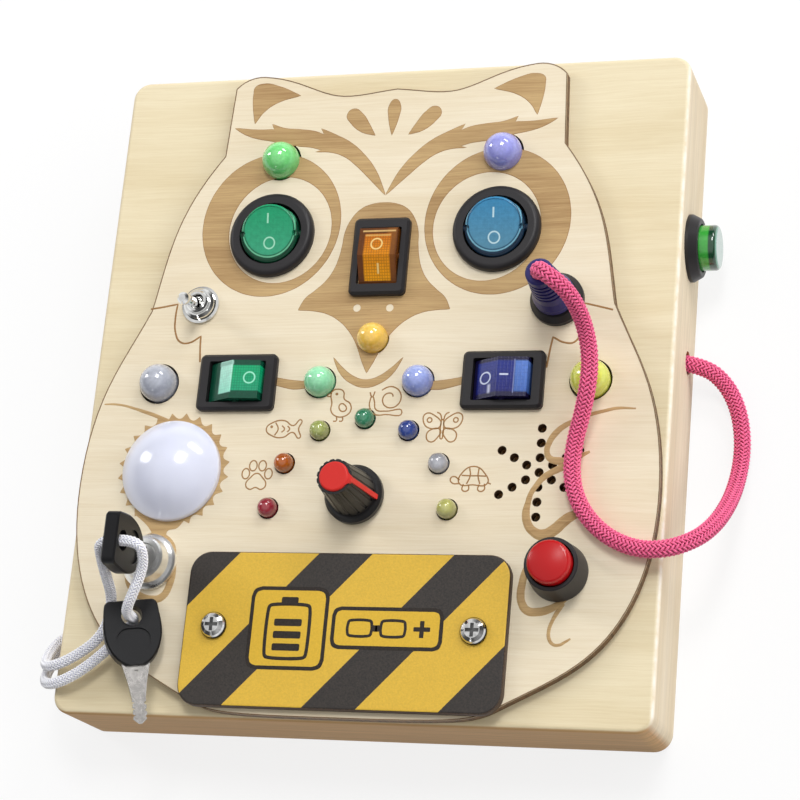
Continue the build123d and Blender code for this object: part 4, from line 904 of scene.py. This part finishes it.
@dataclass(frozen=True)
class BraidedCord:
    """A round braided cord laid along its route; its diameter and steps are in millimetres.

    The core and a yarn's height are shares of its radius, and a yarn's width is one of its place round it.
    """
    name: str
    route: tuple[Point, ...]
    diameter: float
    finish: Finish
    strands: int = 12
    step: float = 0.30
    lay_length: float = 3.2
    core: float = 0.74
    yarn_sides: int = 5
    yarn_wide: float = 0.80
    yarn_high: float = 0.13

    def thread(self) -> Thread:
        """Even steps along the smooth curve that the route controls, twisted as little as possible."""
        curve = bpy.data.curves.new(self.name, "CURVE")
        curve.dimensions = "3D"
        curve.resolution_u = 24
        spline = curve.splines.new("NURBS")
        spline.points.add(len(self.route) - 1)
        for point, place in zip(spline.points, self.route):
            point.co = (*place, 1.0)
        spline.order_u = 3
        spline.use_endpoint_u = True
        holder = bpy.data.objects.new(self.name, curve)
        mesh = bpy.data.meshes.new_from_object(holder)
        points = [vertex.co.copy() for vertex in mesh.vertices]
        bpy.data.objects.remove(holder)
        bpy.data.curves.remove(curve)
        bpy.data.meshes.remove(mesh)
        reach = [0.0]
        for first, second in zip(points, points[1:]):
            reach.append(reach[-1] + (second - first).length)
        count = max(2, round(reach[-1] / (self.step * MM)))
        line, index = [], 0
        for number in range(count + 1):
            wanted = reach[-1] * number / count
            while index < len(points) - 2 and reach[index + 1] < wanted:
                index += 1
            span = reach[index + 1] - reach[index]
            share = (wanted - reach[index]) / span if span else 0.0
            line.append(points[index].lerp(points[index + 1], min(1.0, max(0.0, share))))
        across: list[tuple[Vector, Vector]] = []
        for number in range(len(line)):
            ahead = (line[min(number + 1, count)] - line[max(number - 1, 0)]).normalized()
            side = across[-1][0] if across else ahead.orthogonal()
            side = (side - ahead * side.dot(ahead)).normalized()
            across.append((side, ahead.cross(side)))
        return Thread(line, across)

    def record(self, piece: Piece, thread: Thread, outlet: Vector, **settings: object) -> None:
        """Takes the thread's length and keeps nothing."""
        thread.length()

    def braid(self, name: str, thread: Thread) -> Piece:
        """Braids yarns round a thread as a piece that doesn't ride on a body yet."""
        mesh = bmesh.new()
        deep = mesh.verts.layers.float.new("depth")
        core = self.core * self.diameter * MM / 2
        thread.sweep(mesh, [oval(0.0, 0.0, core, core, 10)] * len(thread.line))
        for way in (1, -1):
            for strand in range(self.strands):
                rings, depths = self.yarn(thread, way, strand)
                for vertex, depth in zip(thread.sweep(mesh, rings), depths):
                    vertex[deep] = depth
        bmesh.ops.recalc_face_normals(mesh, faces=mesh.faces)
        for face in mesh.faces:
            face.smooth = True
        return SHOP.settle(mesh, name, self.finish)

    def yarn(self, thread: Thread, way: int, strand: int) -> tuple[list[list[Point]], list[float]]:
        """One yarn of the braid, which dives under those that turn the other way.

        Args:
            thread: the line it goes round.
            way: 1 or -1, the way it turns.
            strand: its number among those that turn the same way.

        Returns:
            Its rings across the line, and how high each of their points lies, for the painted shade.
        """
        radius = self.diameter * MM / 2
        flat, wide = self.yarn_high * radius, self.yarn_wide * math.pi * radius / self.strands
        turns = [math.tau * (number + 0.25) / self.yarn_sides for number in range(self.yarn_sides)]
        rings, depths = [], []
        for number in range(len(thread.line)):
            travel = (thread.start + number) * self.step / (self.lay_length * self.diameter)
            crossing = 2 * travel * self.strands
            lift = math.cos(math.tau * (2 * strand + (crossing - 0.5 if way > 0 else 1.5 - crossing)) / 4)
            angle = math.tau * (way * travel + strand / self.strands)
            rings.append([])
            for turn in turns:
                here = angle + wide * math.cos(turn) / radius
                out = radius + flat * (lift - 1.3 + 1.1 * math.sin(turn))
                rings[-1].append((out * math.cos(here), out * math.sin(here)))
                # painted shade: a yarn's underside and edges come out deeper
                inner = 0.5 if math.sin(turn) < 0 else 1.0
                depths.append((0.55 + 0.45 * lift) * (1.0 - 0.45 * abs(math.cos(turn))) * inner)
        return rings, depths


@dataclass
class PullCord:
    """The pink rope from the plug to its hole in the right side."""
    rope: BraidedCord = BraidedCord("pull_rope", metres(
        (47.5, 20, 44.22), (47.5, 20, 49.8), (51.5, 16.9, 52.7), (55.3, 14.2, 49.6), (57.2, 11.4, 43.0),
        (58.2, 7.0, 37.6), (58.8, 1.2, 35.3), (58.5, -5.2, 34.7), (56.9, -11.2, 31.9), (55.0, -17.4, 29.8),
        (54.4, -24.2, 29.3), (55.8, -31.0, 29.3), (59.6, -37.0, 29.3), (65.2, -41.6, 29.3), (72.2, -44.2, 29.5),
        (79.2, -43.8, 28.9), (84.8, -40.6, 25.4), (88.0, -35.6, 20.0), (89.6, -29.6, 13.6), (90.4, -23.0, 7.4),
        (90.9, -15.6, 3.2), (90.9, -8.2, 2.4), (89.5, -0.8, 2.4), (86.3, 5.6, 3.6), (81.0, 9.6, 6.4),
        (73.4, 10.4, 7.6)), 4.0, PINK)

    def build(self) -> None:
        """Lays the rope."""
        thread = self.rope.thread()
        piece = self.rope.braid("pull_rope", thread)
        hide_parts("pull_cord")
        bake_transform(piece)
        self.rope.record(piece, thread, thread.line[-1], with_pieces=[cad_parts["plug_sleeve"]])
        log.info("laid the pull rope, %.1f mm", thread.length() / MM)


@dataclass
class KeyCord:
    """The white cord through both keys' bows, from the left side and back to it.

    They part at a share of the way from the spare key's hole, low, to the first key's, high.
    """
    cord: BraidedCord = BraidedCord("key_cord_line", metres(
        (-72.0, -63.4, 12.5), (-78.9, -63.8, 12.5), (-82.0, -67.0, 15.0), (-82.2, -71.6, 19.4), (-80.2, -75.3, 24.4),
        (-75.6, -75.6, 27.4), (-69.6, -72.6, 27.7), (-64.0, -68.6, 28.5), (-61.8, -62.6, 28.6), (-61.2, -57.7, 30.9),
        (-60.5, -54.4, 37.2), (-59.6, -51.0, 43.4), (-58.2, -48.4, 48.5), (-47.6, -48.4, 48.5), (-47.4, -52.1, 44.5),
        (-48.8, -55.7, 42.6), (-50.4, -59.4, 41.6), (-52.6, -62.6, 39.4), (-54.2, -63.8, 35.9), (-54.4, -63.9, 28.6),
        (-61.2, -71.2, 28.6), (-68.0, -76.8, 28.0), (-74.4, -80.0, 27.4), (-79.4, -79.9, 24.4), (-82.1, -76.4, 19.4),
        (-82.4, -71.0, 14.0), (-81.0, -66.2, 10.2), (-77.0, -63.8, 9.5), (-72.0, -63.8, 9.5)), 2.6, PALE, 10, 0.27)
    low: Point = (-0.0544, -0.0639, 0.036)
    high: Point = (-0.0536, -0.0484, 0.0485)
    parting: float = 0.475

    def build(self) -> None:
        """Lays the cord in its three stretches."""
        low, high = Vector(self.low), Vector(self.high)
        way = high - low
        thread = self.cord.thread()
        above = [(point - low).dot(way) / way.length_squared > self.parting for point in thread.line]
        split = [number for number in range(1, len(above)) if above[number] != above[number - 1]]
        first, last = split[0], split[-1]
        for name, start, end, still, moving, near, far in (
                ("key_cord_lower", 0, first, "root", "lock_turn", 0.05, 0.45),
                ("key_cord_loop", first, last, "lock_turn", "key", 0.5, 0.85),
                ("key_cord_return", last, len(above) - 1, "root", "lock_turn", 0.05, 0.45)):
            stretch = thread.cut(start, end)
            piece = self.cord.braid(name, stretch)
            if start == 0:
                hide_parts("key_cord")
            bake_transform(piece)
            self.cord.record(piece, stretch, stretch.line[0])
        log.info("laid the key cord, %.1f mm", thread.length() / MM)


# ---- the board's own pieces ----------------------------------------------------------------
LampRow = tuple[float, float, str, str]


@dataclass
class Fittings:
    """Dresses the board's solids."""
    solids: tuple[tuple[str, Finish], ...] = (
        # the board's lower end gets a browned cut and painted shade, its sides and upper end painted light
        ("front_board rail_left rail_right rail_top rail_bottom back_panel", Wood(
            "board birch", "eee1c0", 0.62, "wood", dark="dbc89e", end_burn_and_shade=shade("eac7a2"),
            side_painted_light=(1.10, 1.08, 1.18, 1.0), edge_highlight=0.8)),
        ("owl_panel", Wood("owl birch", "efe3ca", 0.6, "owl_wood", dark="deccaa", burnt_below=26.85)),
        ("left_eye_housing right_eye_housing beak_housing left_wing_housing "
         "right_wing_housing red_button_housing side_button_housing jack_socket selector_switch", Plastic(
            "black switch plastic", "262426", 0.42, "black_plastic", texture=0.3, specular=0.3)),
        ("key_bow spare_key_bow", Plastic(
            "key bow plastic", "18181a", 0.34, "black_plastic", texture=0.2, specular=0.18)),
        ("selector_knob", Plastic("black knob plastic", "1a191a", 0.36, "black_plastic", texture=0.2, specular=0.4)),
        ("knob_pointer", Plastic("red pointer", "ce2822", 0.42, "pointer_red", specular=0.3)),
        ("toggle_nut toggle_bushing toggle_lever panel_nuts", Metal(
            "chrome", "eaeae8", 0.08, "lock_chrome", mottle=0.12)),
        ("lock_barrel lock_cylinder", Metal("lock chrome", "fafaf8", 0.3, "lock_chrome", mottle=0.1)),
        # painted shade in the cross recesses of the cover screws
        ("cover_screws", Metal("cover screw steel", "e4e4e3", 0.14, "screw_steel", mottle=0.3, shade_below=30.08)),
        ("back_screws red_button_spring side_button_spring plug_pin selector_shaft", SCREW),
        ("key_blade spare_key_blade", Metal("key nickel", "a09d9a", 0.26, "key_nickel", mottle=0.3)),
        ("switch_terminals", Metal("terminal brass", "d6ba78", 0.3, "terminal_brass")),
        ("battery_contacts", Metal("contact steel", "c8c8c6", 0.3, "contact_steel")),
        ("red_button_cap", Plastic(
            "red button", "b8090f", 0.3, "button_red", coat=0.5, coat_roughness=0.10, specular=0.2,
            crown=(52.6, -49.4))),
        ("side_button_cap", Lamps(
            "green button", "3cac3e", 0.16, "button_green", (
                Zone((83.3, 39.0), (0.95, 12.0), "104228", soft=0.2),
                Zone((84.9, 39.0), (0.75, 12.0), "70a092")), 0.0)),
        ("plug_sleeve", Plastic("plug sleeve", "282468", 0.36, "plug_violet", specular=0.3)),
        ("big_dome", Plastic(
            "milky dome", "dcdff1", 0.2, "milky_dome", coat=0.8, coat_roughness=0.11, texture=0.02, subsurface=0.3)),
        ("dome_base", Plastic("white plastic", "e1e1e1", 0.4, "dome_white")),
        ("speaker_cone", Plastic("speaker paper", "1c1b1c", 0.7, "speaker_paper")),
        ("speaker_frame", Metal("speaker steel", "969696", 0.35, "speaker_metal")),
        ("circuit_board", Plastic("circuit board", "1e643e", 0.4, "circuit_green")),
        ("toggle_body", Plastic("switch body", "3c508c", 0.4, "switch_body")),
        ("battery_tray", Plastic("tray plastic", "2d2d2e", 0.5, "tray_plastic")),
        ("batteries", Plastic("cell sleeve", "466096", 0.25, "cells")),
        ("cover_plate", Hazard("hazard print", "d9b036", 0.55, "plate_print")),
        # the lens zones are painted highlights, reflections, light strips and shade; the amber rocker's bright field
        # is its own lamp's light, painted
        ("left_eye_rocker", Lens("green lens", "0a422c", 0.25, "green_lens",
                                 eye(-30.25, "48ac80", "6ebe96", "085438", "0c9664", "3ca07a"),
                                 ring=(-30.0, 36.5), bar=(-30.6, 42.9), mark="a0dec0")),
        ("right_eye_rocker", Lens("blue lens", "142c42", 0.25, "blue_lens",
                                 eye(30.25, "60a0be", "78b0c4", "143c58", "3484b2", "588ca4"),
                                 ring=(30.4, 36.3), bar=(30.1, 42.6), mark="bedce4")),
        ("beak_rocker", Lens("amber lens", "603208", 0.25, "amber_lens", (
            Zone((3.6, 32.4), (1.2, 7.0), "844e18", "6e3c0c", soft=0.3),
            Zone((0.2, 38.6), (4.4, 0.2), "d6b070", soft=0.12),
            Zone((0.0, 31.9), (3.55, 5.9), "c26804", "f2a208", grid=0.7, soft=0.12),
            Zone((0.0, 37.4), (3.4, 0.22), "ce9e52", soft=0.12)),
            ring=(-0.2, 35.0), bar=(0.3, 28.8), bar_size=(0.5, 2.4), mark="eccc80", pitch=0.68)),
        ("left_wing_rocker", Lens("bright green lens", "0e4a36", 0.25, "green_lens", (
            Zone((-32.0, -0.7), (4.3, 3.4), "0ea86e", "249e74", grid=0.6),
            # painted reflection: the pale left facet
            Zone((-37.6, -0.2), (2.0, 4.3), "bef0de", "9ee8d0", grid=0.18),
            Zone((-37.6, 3.4), (2.2, 0.5), "96c4b4")),
            ring=(-30.9, -0.6), bar=(-60.0, -1.0), mark="96e2c4", pitch=0.68)),
        ("right_wing_rocker", Lens("deep blue lens", "1a163e", 0.25, "deep_blue_lens", (
            Zone((33.7, -0.9), (5.1, 4.0), "1e2e88", "181e70", grid=0.2, soft=0.2),
            Zone((38.7, -0.9), (0.12, 4.4), "7882b0", soft=0.1),
            Zone((40.7, -0.9), (1.8, 4.0), "5c84d6", "4268b4", grid=0.1, soft=0.25),
            # painted sheen: the pale streak at the lower left
            Zone((32.3, -3.9), (0.35, 1.1), "c4c8de", soft=0.3)),
            ring=(31.05, -0.95), bar=(36.2, -0.5), bar_size=(2.2, 0.45), mark="ced6ee")))
    # each row: x, y, colour above and colour at the foot; the grade between them is painted light
    brows: tuple[LampRow, ...] = ((-30.2, 60.7, "84e48a", "76d47e"), (30.2, 60.7, "aaacec", "9698de"))
    cheeks: tuple[LampRow, ...] = ((-57.2, -0.8, "b8bbc5", "a8acb9"), (57.2, -0.8, "e6ec6e", "dce25e"))
    chins: tuple[LampRow, ...] = (
        (-13.0, -0.8, "a4eabc", "90daaa"), (13.0, -0.8, "acbaec", "92a0de"), (0.0, 10.7, "fad46a", "f2c250"))
    # each led's colour above and at its foot; the grade between them is painted light
    leds: tuple[tuple[str, str], ...] = (
        ("7a0e1e", "b23646"), ("8a3a08", "cc6c16"), ("869044", "bcc47a"), ("0e623e", "4c9e78"),
        ("18286c", "425aa8"), ("545258", "d8dae2"), ("9c9c46", "d0ce86"))
    arc: float = 23.4
    arc_y: float = -34.0

    def build(self) -> None:
        """Gives every solid its finish."""
        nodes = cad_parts
        for names, finish in self.solids:
            for name in names.split():
                SHOP.dress(nodes[name], finish)
        places = [math.pi * (1 - number / (len(self.leds) - 1)) for number in range(len(self.leds))]
        leds = [(self.arc * math.cos(angle), self.arc_y + self.arc * math.sin(angle), *tints)
                for angle, tints in zip(places, self.leds)]
        # the last number of each group is the share of colour left at a lamp's rim, a painted shade
        groups = (("brow_lamps", "brow_tint", self.brows, 5.0, 0.72),
                  ("cheek_lamps", "cheek_tint", self.cheeks, 5.0, 0.72),
                  ("chin_lamps", "chin_tint", self.chins, 4.0, 0.72),
                  ("indicator_leds", "indicator_tint", leds, 2.5, 0.45))
        for name, slot, lamps, radius, rim in groups:
            zones = sum((lamp(x, y, radius, colour, foot, rim) for x, y, colour, foot in lamps), ())
            SHOP.dress(nodes[name], Lamps(name.replace("_", " "), lamps[0][2], 0.1, slot, zones))
        for name, node in nodes.items():
            if not node.hide_render and node.data.materials[0] not in SHOP.made.values():
                log.warning("%s has no finish", name)
        log.info("dressed %d solids", len(nodes))


@dataclass
class ButtonSprings:
    """The coils under the push-buttons' caps."""
    travel: float = 3.0
    coils: tuple[tuple[str, str, Point], ...] = (
        ("red_button_spring", "red_press", (0.0, 0.0, 1.0)), ("side_button_spring", "side_press", (1.0, 0.0, 0.0)))

    def build(self) -> None:
        """Copies each coil onto the root."""
        for name, joint, axis in self.coils:
            coil = bmesh.new()
            coil.from_mesh(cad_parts[name].data)
            bmesh.ops.remove_doubles(coil, verts=coil.verts, dist=WELD)
            for face in coil.faces:
                face.smooth = True
            piece = SHOP.settle(coil, name + "_coil", SCREW)
            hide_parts(name)
            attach(piece, "root")
            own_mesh(piece)


@dataclass
class PanelEdge:
    """A thin dark line round the owl panel's front face, in millimetres."""
    width: float = 0.28
    lift: float = 0.03
    thickness: float = 0.05

    def build(self) -> None:
        """Insets a copy of the front face and keeps the strip round it."""
        strip = bmesh.new()
        strip.from_mesh(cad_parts["owl_panel"].data)
        bmesh.ops.remove_doubles(strip, verts=strip.verts, dist=WELD)
        top = Level.PANEL.value * MM - 10 * WELD
        self.keep(strip, {face for face in strip.faces if min(vertex.co.z for vertex in face.verts) >= top})
        bmesh.ops.dissolve_limit(strip, angle_limit=0.001, verts=strip.verts, edges=strip.edges)
        self.keep(strip, set(bmesh.ops.inset_region(strip, faces=strip.faces, thickness=self.width * MM,
                                                    use_boundary=True, use_even_offset=True)["faces"]))
        self.keep(strip, self.largest(strip))
        bmesh.ops.solidify(strip, geom=strip.faces, thickness=self.thickness * MM)
        bmesh.ops.translate(strip, vec=(0, 0, self.lift * MM), verts=strip.verts)
        bmesh.ops.recalc_face_normals(strip, faces=strip.faces)
        log.info("lined the panel's edge, %d faces", len(strip.faces))
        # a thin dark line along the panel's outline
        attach(SHOP.settle(strip, "panel_edge_line", EDGE_LINE_WOOD), "root")

    @staticmethod
    def keep(strip: Mesh, kept: set[bmesh.types.BMFace]) -> None:
        """Deletes all other faces."""
        bmesh.ops.delete(strip, geom=[face for face in strip.faces if face not in kept], context="FACES")

    @staticmethod
    def largest(strip: Mesh) -> set[bmesh.types.BMFace]:
        """The island with the most faces, which runs round the outside."""
        left, best = set(strip.faces), set()
        while left:
            edge = [left.pop()]
            island = set(edge)
            while edge:
                near = {other for side in edge.pop().edges for other in side.link_faces} & left
                left -= near
                island |= near
                edge.extend(near)
            best = max(best, island, key=len)
        return best


# ---- studio --------------------------------------------------------------------------------
@dataclass
class Studio:
    """The camera, the pale floor and the soft lights."""
    eye: Point = (0.1928, -0.1864, 0.5710)
    right: Point = (0.95206788, 0.08931049, -0.29255834)
    up: Point = (0.00710877, 0.94970828, 0.31305533)
    back: Point = (0.3058042, -0.30012966, 0.90355187)
    lens: float = 108.4
    whiteness: float = 0.8
    reach: float = 2.0
    boxes: tuple[tuple[str, Point, float, float, float], ...] = (
        ("left box", (-0.79, 0.38, 0.48), 0.42, 0.70, 8.0), ("front box", (0.13, 0.44, 0.89), 0.50, 0.60, 14.0),
        ("right box", (0.38, 0.74, 0.56), 0.80, 0.30, 8.0), ("low box", (-0.31, -0.82, 0.48), 0.20, 0.16, 1.0))

    def build(self) -> None:
        """Sets up the studio."""
        self.camera()
        self.floor()
        self.world()
        self.lights()
        bpy.context.scene.view_settings.view_transform = "Standard"

    def camera(self) -> None:
        """Places the camera."""
        data = bpy.data.cameras.new("camera")
        data.lens = self.lens
        data.clip_start, data.clip_end = 0.01, 20.0
        camera = bpy.data.objects.new("camera", data)
        axes = Matrix((self.right, self.up, self.back)).transposed()
        camera.matrix_world = Matrix.Translation(self.eye) @ axes.to_4x4()
        bpy.context.scene.collection.objects.link(camera)
        bpy.context.scene.camera = camera

    def floor(self) -> None:
        """A wide pale floor that looks white to the camera and still takes the board's shadow."""
        skin = Skin(Finish("studio floor", "969492", 0.9))
        rays = skin.node("LightPath").outputs
        kinds = (rays[f"Is {kind} Ray"] for kind in ("Camera", "Glossy", "Transmission"))
        seen = reduce(partial(skin.math, "MAXIMUM"), kinds)
        skin.set({"Base Color": skin.blend(seen, shade("969492"), shade("fafafa"))})
        glow = skin.node("Emission", {"Color": (1.0, 1.0, 1.0, 1.0), "Strength": 1.0})
        mix = skin.node("MixShader", {
            0: skin.product(seen, self.whiteness), 1: skin.shader.outputs[0], 2: glow.outputs[0]})
        skin.fill(skin.tree.nodes["Material Output"], {"Surface": mix.outputs[0]})
        plane = bmesh.new()
        bmesh.ops.create_grid(plane, x_segments=1, y_segments=1, size=3.0)
        floor = SHOP.settle(plane, "floor")
        floor.data.materials.append(skin.material)

    @staticmethod
    def world() -> None:
        """A pale surround, dimmer from below, whose reflection has dark and bright bands."""
        world = bpy.data.worlds.new("surround")
        world.use_nodes = True
        wiring = Wiring(world.node_tree)
        across, along, height = wiring.parts(wiring.node("TexCoord").outputs["Generated"])
        right = wiring.product(wiring.rise(across, 0.2, 0.9), wiring.fade(height, 0.35, 0.8))
        soft = wiring.line(right, 1.9, wiring.line(wiring.rise(along, -0.7, 0.5), 0.42, 0.14))
        horizon = wiring.product(wiring.fade(height, 0.10, 0.30), 0.95)
        zenith = wiring.product(wiring.rise(height, 0.60, 0.82), 0.72)
        bands = wiring.math("ADD", wiring.math("MAXIMUM", horizon, zenith), 0.07)
        glossy = wiring.node("LightPath").outputs["Is Glossy Ray"]
        level = wiring.node("Mix", {0: glossy, 2: soft, 3: bands}, data_type="FLOAT").outputs[0]
        wiring.fill(world.node_tree.nodes["Background"], {"Strength": level, "Color": (1.0, 1.0, 1.0, 1.0)})
        bpy.context.scene.world = world

    def lights(self) -> None:
        """Four soft boxes."""
        for name, way, wide, high, power in self.boxes:
            data = bpy.data.lights.new(name, "AREA")
            data.shape = "RECTANGLE"
            data.size, data.size_y = wide, high
            data.energy = power
            box = bpy.data.objects.new(name, data)
            box.location = Vector(way).normalized() * self.reach
            box.rotation_euler = (-Vector(way)).to_track_quat("-Z", "Y").to_euler()
            bpy.context.scene.collection.objects.link(box)


def main() -> None:
    """Builds the scene."""
    for part in (Studio, PullCord, KeyCord, Fittings, ButtonSprings, PanelEdge, OwlFace, LittleMarks, PlateMarks):
        part().build()


if __name__ == "__main__":
    main()
